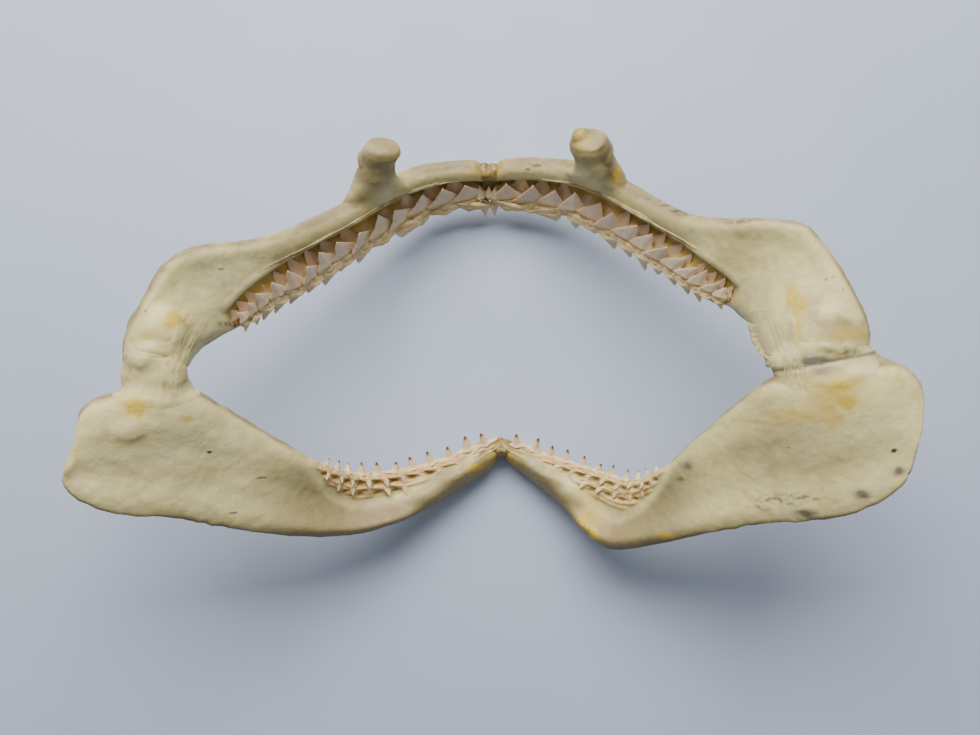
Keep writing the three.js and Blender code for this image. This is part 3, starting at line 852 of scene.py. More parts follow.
T, B, G, P, R, Y, D = (StainAndShading.TAN, StainAndShading.BROWN, StainAndShading.GOLD, StainAndShading.PALE, StainAndShading.ROSE, StainAndShading.GREY, StainAndShading.DARK)
# Some T marks are painted shade and some P marks painted light; the rows that hold them are noted below.
MARK_ROWS = {
    "lower_left": (
        (P, -172, -22, 15.5, 7.7, 0.7), (P, -150, -40, 26, 9, 0.8), (G, -162, -18, 4.6, 4.6, 1.0),
        (G, -142, -24, 3.3, 1.4, 0.6), (G, -9, -58, 4.6, 2.3, 0.8), (T, -160, -42, 24, 7, 0.45),
        (R, -172, -33, 10, 3, 0.5), (T, -156, -53, 23.9, 7.7, 0.3), (R, -66, -81, 20.1, 6.7, 0.6),
        # T(-22, -63) is painted shade on the underside of the chin, which faces away from the light.
        (T, -80, -73, 27.7, 10, 0.9), (P, -130, -60, 40, 12, 0.3), (T, -22, -63, 26, 12, 1.5),
        (D, -136, -41, 1.1, 0.7, 1), (D, -116, -56, 2.5, 0.5, 0.9), (D, -129, -73, 1.8, 0.6, 0.9),
        (D, -109, -36, 1, 0.5, 0.7), (T, -143, -12, 5.6, 3.8, 0.5), (T, -158, -1, 19, 8, 0.5),
        (B, -166, -2, 4, 8, 0.15), (G, -162, -16, 8, 5, 0.5),
    ),
    "upper_left": (
        (P, -161, 20, 13.8, 11.1, 0.15), (G, -148, 22, 4.2, 3.7, 0.9), (G, -158, 14, 3.2, 2.8, 0.4),
        # P(-124, 46) is painted light that brightens the shaded hollow where the bar meets the wing.
        (T, -118, 49, 22.6, 10.1, 0.15), (P, -124, 46, 22, 10, 0.9), (T, -160, 14, 13, 8, 0.5),
        (B, -139, 11, 9, 2.5, 0.5), (T, -138, 12, 9, 5, 0.9), (B, -129, 22, 6.2, 2.1, 0.6),
        # P(-60, 98) is painted light on the neck of the orbital process, which lies in the shade of its cap.
        (P, -60, 98, 10, 9, 1.0), (G, -47, 113, 2.2, 4.5, 0.25), (T, -54, 106, 7.2, 2.1, 0.25),
        (T, -84, 80, 5.3, 3.2, 0.3), (D, -159, 26, 0.7, 0.6, 0.7), (D, -131, 48, 1.5, 0.5, 0.7),
        (D, -100, 88, 1.1, 0.5, 0.6), (B, -171, 10, 2.3, 9.3, 0.6), (T, -57, 113, 12, 10, 0.5),
        (P, -60, 113, 4, 3, 0.25),
    ),
    "upper_right": (
        (T, 131, 52, 17.6, 20.6, 0.45), (T, 161, 17, 15, 7, 1.6), (T, 148, 26, 6, 9, 0.9),
        (P, 158, 10, 14.8, 2.6, 0.5), (G, 162, 15, 13, 4, 0.28), (P, 166, 31, 10.2, 10.2, 0.5),
        (G, 143, 32, 3.4, 8, 0.9), (G, 143, 17, 1.9, 9.4, 0.6), (B, 161, 8, 10.1, 2.3, 0.5),
        (D, 97, 80, 4.6, 0.8, 0.9), (D, 91, 84, 3.1, 0.7, 0.8), (D, 26, 112, 2.8, 0.9, 0.9),
        (D, 21, 110, 1.7, 0.7, 0.8), (D, 83, 88, 1.2, 0.7, 0.7), (B, 102, 78, 7.1, 1.3, 0.6),
        # P(56, 103) is painted light on the neck of the orbital process, which lies in the shade of its cap.
        (B, 122, 71, 7.8, 1, 0.6), (T, 52, 104, 11.5, 4.2, 0.4), (P, 56, 103, 10, 8, 0.8),
        # T(52, 117) darkens the cap: its own tan-green tone, and painted shade that tones down its brightly
        # lit top.
        (G, 48, 116, 4.6, 4.6, 0.35), (P, 53, 112, 3.1, 2.5, 0.3), (T, 52, 117, 12, 9, 1.3),
        (G, 46, 120, 4, 4, 0.4), (G, 67, 103, 2.6, 6.3, 0.5), (D, 152, 59, 0.6, 0.5, 0.6),
        (D, 156, 41, 0.7, 0.6, 0.6), (D, 159, 42, 0.6, 0.6, 0.6), (D, 163, 36, 0.6, 0.5, 0.5),
        (T, 120, 35, 10.4, 11.4, 0.2),
    ),
    "lower_right": (
        (G, 159, -8, 5, 3.7, 1), (G, 163, -16, 4.6, 3.2, 0.95), (T, 156, -4, 12, 5, 1.5),
        (G, 157, -19, 4.1, 2.3, 0.6), (G, 158, -13, 12.8, 11.9, 0.5), (G, 145, -22, 15.9, 3.3, 0.45),
        (G, 131, -26, 14.3, 1.4, 0.35), (Y, 149, 3.2, 9, 2.2, 1.0), (Y, 154, -1, 6.4, 2.3, 0.4),
        (D, 186, -38, 1.3, 1.1, 1), (Y, 189, -48, 2.8, 2.3, 0.75), (Y, 174, -59, 3.7, 2.8, 0.7),
        (Y, 152, -70, 4.8, 2.4, 0.7), (B, 139, -65, 8.8, 2, 0.55), (B, 149, -62, 10.6, 1.4, 0.55),
        (B, 134, -69, 3.9, 1.5, 0.5), (D, 142, -38, 0.6, 0.5, 0.7), (Y, 102, -51, 2.6, 2.1, 0.6),
        (B, 100, -58, 1.8, 1.3, 0.6), (T, 144, -44, 38.4, 10.6, 0.8), (G, 57, -84, 8, 12, 0.4),
        (T, 68, -79, 14.6, 12.4, 1.4), (G, 53, -86, 2.8, 5.6, 0.9), (G, 58, -92, 3.3, 5, 0.8),
        (G, 93, -89, 4.8, 1.6, 0.6), (R, 69, -92, 9.9, 3.9, 0.5), (P, 175, -24, 12, 12, 0.5),
        # T(21, -60) is painted shade on the underside of the chin, which faces away from the light.
        (T, 21, -60, 18, 13, 1.3), (T, 45, -82, 20, 9, 1.2), (P, 163, -1, 12, 3.7, 0.6),
        (T, 129, -15, 8.6, 5.7, 0.4),
    ),
}
MARKS = {name: tuple(Mark(*row) for row in rows) for name, rows in MARK_ROWS.items()}


# ---------------------------------------------------------------- cartilage
@dataclass
class Blade:
    """One jaw cartilage as a blade between two borders, in station numbers along it."""

    name: str
    stations: Array
    sections: Sequence[tuple[float, Sequence[float], Sequence[float]]]

    def __post_init__(self) -> None:
        """Takes the tables as arrays."""
        self.stations = np.array(self.stations, float)
        self.jaw, self.side = self.name.split("_")
        self.last = len(self.stations) - 1
        self.hand = -1.0 if self.side == "left" else 1.0

    @property
    def tooth_border(self) -> int:
        """Number of the border that carries the teeth."""
        return 1 if self.jaw == "upper" else 0

    def frames(self, at: Array) -> tuple[Array, Array, Array]:
        """Both border points and the normal to the throat side.

        Args:
            at: Station numbers.

        Returns:
            First border points, second border points and normals.
        """
        pair = catmull(self.stations, at)
        middle = (catmull(self.stations, np.minimum(at + 0.1, self.last)).mean(-2)
                  - catmull(self.stations, np.maximum(at - 0.1, 0)).mean(-2))
        first, second = pair[..., 0, :], pair[..., 1, :]
        return first, second, -self.hand * unit(np.cross(middle, second - first))

    def heights(self, at: Array) -> tuple[Array, Array]:
        """Heights of the throat face and of the outer face, eased between the section keys."""
        keys = np.array([key[0] for key in self.sections], float)
        values = np.array([(*key[1], *key[2]) for key in self.sections], float)
        after = np.clip(np.searchsorted(keys, at), 1, len(keys) - 1)
        share = smoothstep((at - keys[after - 1]) / (keys[after] - keys[after - 1]), 0, 1)[..., None]
        mixed = values[after - 1] * (1 - share) + values[after] * share
        return mixed[..., :6], mixed[..., 6:]

    def face(self, at: Array, share: Array, above: Array | float = 0.0) -> Array:
        """Points on the throat face.

        Args:
            at: Station numbers.
            share: Shares of the way from the first border to the second.
            above: Heights over the face.

        Returns:
            The points.
        """
        first, second, normal = self.frames(at)
        throat, _ = self.heights(at)
        full = np.concatenate([np.zeros_like(throat[..., :1]), throat, np.zeros_like(throat[..., :1])], -1)
        shares = np.array([0.0, *THROAT_SHARES, 1.0])
        share = np.broadcast_to(share, at.shape)
        height = np.array([np.interp(s, shares, row) for s, row in zip(share.ravel(), full.reshape(-1, 8))])
        height = height.reshape(at.shape) + above
        return first + share[..., None] * (second - first) + height[..., None] * normal

    def slices(self, at: Array, steps: int, grow: float = 0.0) -> tuple[Array, Array]:
        """Closed slices of the blade.

        Args:
            at: Station numbers.
            steps: Points round one slice.
            grow: How far the faces are moved outwards.

        Returns:
            The points, and the place of each in its loop of twelve control points.
        """
        first, second, normal = self.frames(at)
        throat, outer = self.heights(at)
        reach = grow / np.maximum(1.0, np.linalg.norm(second - first, axis=-1))
        loop = np.stack([first + share * (second - first) for share in LOOP_SHARES])
        for k in range(6):
            loop[1 + k] += (throat[:, k, None] + grow) * normal
        for k in range(4):
            loop[8 + k] += (outer[:, k, None] - grow) * normal
        loop[0] -= reach[:, None] * (second - first)
        loop[SECOND_BORDER_AT] += reach[:, None] * (second - first)
        turn = np.arange(steps) / steps * len(LOOP_SHARES)
        return catmull(loop, turn, closed=True).transpose(1, 0, 2), turn


@dataclass
class Growth:
    """A lump that grows from a cartilage.

    Round its foot, as far as its reach, the skin is drawn over the corner as many times as rounding
    says, and a knob has a shallow pit, the fossa, beside it.
    """

    skin: Skin
    foot: Sequence[float]
    reach: float
    rounding: int
    fossa: Sequence[float] | None = None


@dataclass
class Knob:
    """An orbital process as a stack of rings, in millimetres."""

    rings: Sequence[tuple[tuple[float, float, float], float, float]]
    seed: int
    run: Sequence[float]
    fossa: Sequence[float]
    pit: tuple[float, float, float] | None = None
    reach: float = 34.0
    rounding: int = 20

    def growth(self) -> Growth:
        """The process, with a rounded and slightly lumpy cap."""
        centres = np.array([r[0] for r in self.rings], float)
        halves = np.array([r[1:] for r in self.rings], float)
        axis = unit(centres[-1] - centres[0])
        at = np.linspace(0, len(centres) - 1, 44)
        turned = np.concatenate([1 - smoothstep(at, 0.2, 2.6), np.zeros(8)])[:, None]
        wide = turned * np.array(self.run) + (1 - turned) * unit(np.array([1.0, 0, 0]) - axis * axis[0])
        wide = unit(wide - (wide @ axis)[:, None] * axis)[:, None]
        deep = np.cross(axis, wide)
        centre, half = catmull(centres, at), catmull(halves, at)
        dome = np.linspace(0.12, 1.0, 8)[:, None]
        centre = np.concatenate([centre, centre[-1] + axis * 3.4 * np.sin(dome * math.pi / 2)])
        half = np.concatenate([half, half[-1] * np.maximum(np.cos(dome * math.pi / 2), 0.03)])
        turn = np.linspace(0, 2 * math.pi, 60, endpoint=False)
        rings = (centre[:, None] + half[:, None, :1] * np.cos(turn)[None, :, None] * wide
                 + half[:, None, 1:] * np.sin(turn)[None, :, None] * deep)
        flat = rings.reshape(-1, 3)
        out = unit(rings - centre[:, None]).reshape(-1, 3)
        flat = flat + out * (0.7 * rough_noise(flat, 7.0, self.seed))[:, None]
        if self.pit:
            away = np.linalg.norm(flat - np.array(self.pit), axis=1)
            flat = flat - axis * (1.6 * bell(away, 0.0, 2.6))[:, None]
        return Growth(loft(flat.reshape(rings.shape)), centres[1], self.reach, self.rounding, self.fossa)


def swelling(centre: Sequence[float], half: Sequence[float], seed: int) -> Growth:
    """A rounded swelling.

    Args:
        centre: Its middle.
        half: Its half sizes.
        seed: Number of its pattern of lumps.

    Returns:
        The swelling.
    """
    climb = np.linspace(0.04, math.pi - 0.04, 30)[:, None, None]
    turn = np.linspace(0, 2 * math.pi, 48, endpoint=False)[None, :, None]
    ball = np.concatenate([np.sin(climb) * np.cos(turn), np.sin(climb) * np.sin(turn),
                           np.cos(climb) * np.ones_like(turn)], -1)
    lumps = 1 + 0.06 * rough_noise(ball.reshape(-1, 3) * 10, 6.0, seed).reshape(ball.shape[:2])[..., None]
    return Growth(loft(np.array(centre) + ball * lumps * np.array(half)), centre, 1.25 * max(half), 3)


@dataclass
class ToothPlan:
    """Where the teeth of one jaw half stand."""

    count: int
    start: float
    end: float
    taper: float

    def places(self, blade: Blade) -> tuple[Array, Array]:
        """Station numbers and widths of the teeth, which fill the row.

        Args:
            blade: The cartilage that carries them.

        Returns:
            Station numbers and widths.
        """
        at = np.linspace(self.start, self.end, 400)
        line = catmull(blade.stations[:, blade.tooth_border], at)
        length = np.concatenate([[0], np.cumsum(np.linalg.norm(np.diff(line, axis=0), axis=1))])
        weight = 1 - self.taper * (np.arange(self.count) / (self.count - 1)) ** 1.6
        width = weight / weight.sum() * length[-1]
        centre = np.cumsum(width) - width / 2
        return np.interp(centre, length, at), width


UPPER_PLAN = ToothPlan(count=14, start=0.3, end=7.85, taper=0.6)
LOWER_PLAN = ToothPlan(count=11, start=0.4, end=5.95, taper=0.4)
# Shares, by station number, at which the bar of the upper jaw ends and the bed of the teeth starts.
BAR_EDGE_AT = (0.0, 5.0, 6.0, 7.0, 8.0)
BAR_EDGE_SHARE = (0.33, 0.31, 0.38, 0.52, 0.7)
WING_FILL = {"upper": 2.8, "lower": 2.2}
BED_LUMPS = ((6.4, 1.9), (2.6, 1.8))  # (distance from the tooth border, height)
HOLES_SET_OFF = (5.2, 11.4)
MEMBRANE_STEPS = 40
# Shares, by station number, at which the bed of the lower teeth ends.
LOWER_ZONE_AT = (0.0, 1.0, 2.0, 3.0, 4.0, 5.0, 5.7, 6.4)
LOWER_ZONE_SHARE = (0.10, 0.13, 0.2, 0.36, 0.43, 0.42, 0.26, 0.0)


@dataclass
class JawHalf:
    """One cartilage with its knobs, its surface relief and its stains."""

    name: str
    stations: Sequence
    growths: Sequence[Growth]
    seed: int
    voxel: float = 0.62
    slice_count: int = 330
    slice_steps: int = 132
    pocket_depth: float = 2.4
    bar_crest: float = 0.7
    bed_step: float = 1.1
    hole_depth: float = 1.7
    finish: Finish = field(default_factory=CartilageFinish)

    def __post_init__(self) -> None:
        """Makes the blade that the cartilage follows."""
        sections = UPPER_SECTIONS if self.name.startswith("upper") else LOWER_SECTIONS
        self.blade = Blade(self.name, self.stations, sections)
        self.skin: Skin | None = None
        self.layers: Array | None = None
        self.guide: tuple[Array, Array, Array, Array] | None = None

    def relief(self, at: Array, share: Array, throat: Array, points: Array) -> Array:
        """How far the surface stands over the plain blade.

        Args:
            at: Station number of each point.
            share: Share of the way from the first border to the second.
            throat: 1 on the throat side and 0 on the outer side.
            points: The points.

        Returns:
            Heights along the outward normals.
        """
        rise = 0.5 * rough_noise(points, 16.0, self.seed) + 0.22 * rough_noise(points, 4.0, self.seed + 9)
        border = np.maximum(bell(share, 0, 0.03), bell(share, 1, 0.03)) * smoothstep(at, 5.5, 8.0)
        rise = rise + border * 0.6 * rough_noise(points, 5.5, self.seed + 20)
        wing = window(at, (6.0, 8.6), (self.blade.last - 0.9, self.blade.last))
        rise = rise + WING_FILL[self.blade.jaw] * (throat * wing * bell(share, 0.48, 0.24))
        if self.blade.jaw == "upper":
            run = throat * fade(at, 7.9, 8.4)
            edge = np.interp(at, BAR_EDGE_AT, BAR_EDGE_SHARE)
            pocket = run * window(share - edge, (-0.01, 0.035), (0.12, 0.3))
            zone = run * smoothstep(share - edge, 0.12, 0.25)
            rise = rise - self.pocket_depth * pocket + zone * 0.6 * rough_noise(points, 3.2, self.seed + 3, 2)
            rise = rise + self.bar_crest * run * bell(share - edge, -0.05, 0.045)
            where, width = UPPER_PLAN.places(self.blade)
            first, second, _ = self.blade.frames(where)
            chord = np.linalg.norm(second - first, axis=1)
            small = 0.3 + 0.7 * width / width.max()
            for set_off, height in BED_LUMPS:
                lumps = self.blade.face(where, 1 - set_off * small / chord)
                for middle, across in zip(lumps, width):
                    away = np.linalg.norm(points - middle, axis=1)
                    rise = rise + zone * height * bell(away, 0.0, 0.4 * across)
            return rise
        edge = np.interp(at, LOWER_ZONE_AT, LOWER_ZONE_SHARE)
        zone = throat * (share < edge) * (at < 6.3)
        folds = 0.45 * np.cos(share * 75.0) + 0.5 * rough_noise(points * [1, 2.2, 1], 3.0, self.seed + 3, 2)
        step = throat * smoothstep(edge - share, -0.015, 0.03) * fade(at, 5.6, 6.3)
        rise = rise + zone * folds + self.bed_step * step
        for hole in self.holes(points):
            rise = rise - self.hole_depth * zone * hole
        return rise

    def holes(self, points: Array) -> Iterator[Array]:
        """A bell round each hole behind the lower teeth, read at points."""
        where, width = LOWER_PLAN.places(self.blade)
        before = where + 0.22 * np.gradient(where)
        first, second, _ = self.blade.frames(before)
        for set_off in HOLES_SET_OFF:
            share = set_off / np.linalg.norm(second - first, axis=1)
            for middle, across in zip(self.blade.face(before, share), width):
                away = np.linalg.norm((points - middle) * [0.7, 1.3, 1.0], axis=1)
                yield bell(away, 0, 0.2 * across)

    def build(self) -> "JawHalf":
        """Makes the surface: slices with relief, melted together with the knobs.

        Returns:
            This half.
        """
        blade = self.blade
        at = np.linspace(0, blade.last, self.slice_count)
        rings, turn = blade.slices(at, self.slice_steps)
        first, second, _ = blade.frames(at)
        chord = second - first
        share = (np.einsum("ijk,ik->ij", rings - first[:, None], chord)
                 / np.einsum("ik,ik->i", chord, chord)[:, None])
        throat = np.broadcast_to(window(turn, (0.0, 0.5), (6.5, 7.0)), share.shape)
        along = np.broadcast_to(at[:, None], share.shape)
        tangent = np.gradient(rings, axis=0)
        around = np.roll(rings, -1, axis=1) - np.roll(rings, 1, axis=1)
        normal = unit(np.cross(around, tangent))
        outward = rings - rings.mean(1, keepdims=True)
        normal *= np.sign(np.einsum("ijk,ijk->", normal, outward))
        flat = rings.reshape(-1, 3)
        lift = self.relief(along.ravel(), share.ravel(), throat.ravel(), flat)
        flat = flat + normal.reshape(-1, 3) * lift[:, None]
        low, high = SYMPHYSIS[blade.jaw]
        uneven = 0.9 * rough_noise(flat * [0, 1, 1], 5.0, 17)
        if blade.side == "left":
            flat[:, 0] = np.minimum(flat[:, 0], low + uneven)
        else:
            flat[:, 0] = np.maximum(flat[:, 0], high + uneven)
        end = low if blade.side == "left" else high
        drawn_in = 0.36 * np.clip(1 - np.abs(flat[:, 0] - end) / 6.0, 0, 1) ** 2
        centres = np.repeat(rings.mean(1), rings.shape[1], axis=0)
        flat[:, 1:] += drawn_in[:, None] * (centres - flat)[:, 1:]
        body = loft(flat.reshape(rings.shape))
        self.guide = (flat, along.ravel(), share.ravel(), throat.ravel())
        skin = melt_together([body, *(growth.skin for growth in self.growths)], self.voxel)
        self.skin = Skin(self.round_feet(skin), skin.faces)
        return self

    def round_feet(self, skin: Skin) -> Array:
        """The points of a skin, evened out where a growth stands on the blade."""
        edges = skin.edges()
        points = relax(skin.points, edges, 2, 0.6)
        for growth in self.growths:
            away = np.linalg.norm(points - np.array(growth.foot), axis=1)
            weight = fade(away, growth.reach * 0.6, growth.reach)
            points = draw_over(Skin(points, skin.faces), MEMBRANE_STEPS, growth.rounding, weight)
            if growth.fossa is not None:
                away = np.linalg.norm((points - np.array(growth.fossa)) * [1, 1, 0.75], axis=1)
                points[:, 2] -= weight * bell(away, 0.0, 6.5)
        points[:, 2] = np.maximum(points[:, 2], 0.05)
        return points

    def follow_guide(self) -> tuple[Array, Array, Array]:
        """Station, share and side of every point, from the nearest points of the blade."""
        flat, at, share, throat = self.guide
        nearest = nearest_points(flat, self.skin.points, 3)
        return at[nearest].mean(1), share[nearest].mean(1), throat[nearest].mean(1)

    def paint(self) -> dict[str, Array]:
        """The paint layers: marks, rims, groove, the bed of the teeth, and painted shade on the bar and
        beyond the lower teeth.
        """
        points, normals = self.skin.points, self.skin.normals()
        at, share, throat = self.follow_guide()
        layers = paint_layers(points, normals, MARKS[self.name])
        first, second, _ = self.blade.frames(at)
        height = np.linalg.norm(second - first, axis=1)
        wander = 1.3 + 0.8 * lattice_noise(points, 9.0, self.seed)
        first, second = share * height, (1 - share) * height
        rim = np.maximum(bell(first, 0, 2.0), bell(second, 0, 2.2)) * wander
        rim = np.maximum(rim, 0.3 * np.maximum(bell(first, 0, 4.5), bell(second, 0, 5.0)))
        if self.blade.jaw == "upper":
            run = throat * fade(at, 7.9, 8.3)
            edge = np.interp(at, BAR_EDGE_AT, BAR_EDGE_SHARE)
            bed = run * smoothstep(share - edge, 0.03, 0.1)
            # The pocket under the bar gets gold for the tissue's orange, and brown as painted shade under the
            # bar's overhang.
            pocket = run * window(share - edge, (-0.005, 0.02), (0.17, 0.3))
            add_paint_layer(layers, StainAndShading.BROWN, 0.3 * pocket)
            add_paint_layer(layers, StainAndShading.GOLD, 0.75 * pocket)
            add_paint_layer(layers, StainAndShading.GUM, 0.85 * bed)
            crease = bed * smoothstep(-rough_noise(points * [1.6, 1, 1], 2.6, self.seed + 5), 0.05, 0.5)
            add_paint_layer(layers, StainAndShading.GOLD, 0.45 * crease)
            rim *= 1 - bed
            # Painted shade: the tan layer darkens the bar, more towards the joint and its lower edge, and
            # less at the foot of the orbital process, whose neck stays lit.
            bar = run * fade(share - edge, -0.06, 0.0)
            shade = bar * (0.3 + 0.35 * smoothstep(at, 2.2, 3.8) + 0.3 * smoothstep(share / edge, 0.35, 0.9))
            shade *= fade(at, 5.4, 7.0)
            shade *= 1 - 0.85 * bell(np.linalg.norm(points - np.array(self.growths[0].foot), axis=1), 0, 15)
            add_paint_layer(layers, StainAndShading.TAN, shade)
        else:
            edge = np.interp(at, LOWER_ZONE_AT, LOWER_ZONE_SHARE)
            bed = throat * smoothstep(edge - share, -0.01, 0.03) * (at < 6.3) * (edge > 0.01)
            # Painted shade: the tan layer darkens the throat side beyond the bed of the lower teeth, the
            # trough and the underside of the chin, fading out towards the wing.
            shade = throat * fade(at, 6.0, 7.7) * smoothstep(share - edge, 0.04, 0.26)
            add_paint_layer(layers, StainAndShading.TAN, shade)
            add_paint_layer(layers, StainAndShading.GUM, bed)
            fold = bed * smoothstep(-rough_noise(points * [0.5, 1.8, 1], 2.8, self.seed + 5), 0.0, 0.45)
            # The holes behind the teeth are painted gold and brown: the tissue's orange, and painted shade in
            # the pits.
            for hole in self.holes(points):
                fold = np.maximum(fold, 1.8 * bed * hole)
            add_paint_layer(layers, StainAndShading.GOLD, 0.6 * fold)
            add_paint_layer(layers, StainAndShading.BROWN, 0.5 * fold)
            rim *= 1 - bed
        layers[:, StainAndShading.RIM.value] = np.clip(0.85 * rim, 0, 1)
        low, high = SYMPHYSIS[self.blade.jaw]
        near_middle = bell(np.abs(points[:, 0] - 0.5 * (low + high)), 0, 9.0)
        add_paint_layer(layers, StainAndShading.GOLD, 0.6 * near_middle)
        self.layers = layers
        return paint_attributes(layers)

    def dress(self) -> bpy.types.Object:
        """The finished piece."""
        piece = new_mesh(self.name.replace("_", "_cartilage_"), self.skin, colours=self.paint())
        return finish_piece(piece, self.finish, "cartilage", self.name.replace("_", "_jaw_"))


# ---------------------------------------------------------------- teeth
@dataclass(frozen=True)
class ToothForm:
    """One tooth, one unit wide and one unit high, its flat outer face towards +Y.

    lean is how far the tip is set off along X, notch how deep the rear edge is cut in, cusp how
    narrow the upper part is against the base, and shift how far such a cusp stands off the middle.
    """

    lean: float
    notch: float = 0.3
    cusp: float = 1.0
    shift: float = 0.0
    fullness: float = 1.3
    thickness: float = 0.26
    root: float = 0.34
    columns: int = 13
    rows: int = 17

    def half_widths(self, height: float) -> tuple[float, float]:
        """Half widths on both sides of the middle line, at heights from 0 to 1."""
        if self.cusp < 1.0:
            shoulder = (1.0 - float(smoothstep(height, 0.0, 0.3))) ** 1.5
            needle = self.cusp * (1.0 - height) ** 0.7
            both = 0.5 * (needle + (1.0 - self.cusp) * shoulder)
            return both, both
        straight = 0.5 * (1.0 - height**self.fullness)
        mesial = straight * (1.0 + 0.12 * math.sin(math.pi * height))
        distal = straight * (1.0 - self.notch * float(bell(height, 0.42, 0.24)))
        return (mesial, distal) if self.lean >= 0 else (distal, mesial)

    def ring(self, tip: float, share: float) -> Array:
        """One ring of the tooth.

        Args:
            tip: Height on the crown, from 0 to 1.
            share: Depth in the root, from 0 at the crown to 1.

        Returns:
            The ring's points.
        """
        across = np.linspace(-1, 1, self.columns)
        broad = self.cusp == 1.0
        left, right = self.half_widths(tip)
        saw = 0.012 * (1 - tip) * (-1) ** round(tip * 40) if broad else 0.0
        left, right = left * (1 - 0.12 * share) + saw, right * (1 - 0.12 * share) + saw
        depth = self.root * (0.72 + 0.28 * np.cos(2 * math.pi * (np.abs(across) - 0.55)))
        level = np.full_like(across, tip) - share * depth
        if share:
            bulge = self.thickness * (1.15 - 0.45 * share) * (1 - 0.4 * bell(across, 0, 0.22))
        else:
            bulge = self.thickness * (0.12 + 0.95 * (1 - tip) ** 0.8) * np.ones_like(across)
        neck = 1.0 + 0.25 * float(bell(tip - share, 0.0, 0.09))
        ridge = 0.55 * (1 - np.abs(across)) + 0.45 * (1 - np.abs(across) ** 2.6)
        fold = 1 + 0.10 * np.cos(9 * across) * (1 - tip) * (1 - share)
        middle = self.lean * tip + self.shift * float(smoothstep(tip, 0.0, 0.35))
        x = np.where(across < 0, across * left, across * right) + middle
        back = -bulge * ridge * 0.85 * neck * fold
        front = bulge * (0.34 if broad else 0.55) * ridge * neck * fold
        return np.concatenate([np.stack([x, front, level], -1),
                               np.stack([x, back, level], -1)[::-1][1:-1]])

    def object(self, name: str) -> bpy.types.Object:
        """The tooth as a helper object in metres, with its height kept as an attribute."""
        levels = [(0.0, 1.0 - k / 5) for k in range(5)]
        levels += [(0.985 * k / (self.rows - 1), 0.0) for k in range(self.rows)]
        rings = [self.ring(*level) for level in levels]
        heights = [np.full(len(rings[0]), tip - 0.3 * share) for tip, share in levels]
        skin = loft(np.stack(rings))
        values = np.concatenate([*heights, [-0.3, 1.0]])
        return new_mesh(name, Skin(skin.points / MM + MIDDLE, skin.faces), {"height": values})


def start_tree(name: str, inputs: dict[str, str]) -> Nodes:
    """A geometry tree with named inputs.

    Args:
        name: The tree's name.
        inputs: Kind of each input after the geometry, by name.

    Returns:
        A writer on the new tree.
    """
    tree = bpy.data.node_groups.new(name, "GeometryNodeTree")
    for label, kind in {"Geometry": "Geometry", **inputs}.items():
        tree.interface.new_socket(label, in_out="INPUT", socket_type=f"NodeSocket{kind}")
    tree.interface.new_socket("Geometry", in_out="OUTPUT", socket_type="NodeSocketGeometry")
    return Nodes(tree)


def end_tree(nodes: Nodes, shape: Socket, finish: Socket) -> bpy.types.NodeTree:
    """Ends a geometry tree in plain geometry with its material."""
    real = nodes.add("GeometryNodeRealizeInstances", {"Geometry": shape})
    done = nodes.add("GeometryNodeSetMaterial", {"Geometry": real.outputs[0], "Material": finish})
    nodes.add("NodeGroupOutput", {0: done.outputs[0]})
    return nodes.tree


def tooth_row_tree() -> bpy.types.NodeTree:
    """Geometry nodes that set teeth on points.

    Returns:
        The tree, with inputs for the teeth, their size and their finish.
    """
    known = bpy.data.node_groups.get("tooth_row")
    if known:
        return known
    nodes = start_tree("tooth_row", {"Teeth": "Collection", "Size": "Float", "Finish": "Material"})
    entry = nodes.add("NodeGroupInput").outputs
    turn = nodes.add("GeometryNodeInputNamedAttribute", {"Name": "turn"}, data_type="FLOAT_VECTOR")
    size = nodes.add("GeometryNodeInputNamedAttribute", {"Name": "size"}, data_type="FLOAT_VECTOR")
    form = nodes.add("GeometryNodeInputNamedAttribute", {"Name": "form"}, data_type="INT")
    rotation = nodes.add("FunctionNodeEulerToRotation", {0: turn.outputs["Attribute"]})
    scaled = nodes.add("ShaderNodeVectorMath", {0: size.outputs["Attribute"], "Scale": entry["Size"]},
                       operation="SCALE")
    teeth = nodes.add("GeometryNodeCollectionInfo", {"Collection": entry["Teeth"], "Separate Children": True,
                                                     "Reset Children": True})
    placed = nodes.add("GeometryNodeInstanceOnPoints", {
        "Points": entry["Geometry"], "Instance": teeth.outputs[0], "Pick Instance": True,
        "Instance Index": form.outputs["Attribute"], "Rotation": rotation.outputs[0],
        "Scale": scaled.outputs[0]})
    luck = nodes.add("FunctionNodeRandomValue", {"Seed": 7}, data_type="FLOAT")
    tinted = nodes.add("GeometryNodeStoreNamedAttribute", {
        "Geometry": placed.outputs[0], "Name": "tint", "Value": luck.outputs[1]},
        data_type="FLOAT", domain="INSTANCE")
    return end_tree(nodes, tinted.outputs[0], entry["Finish"])


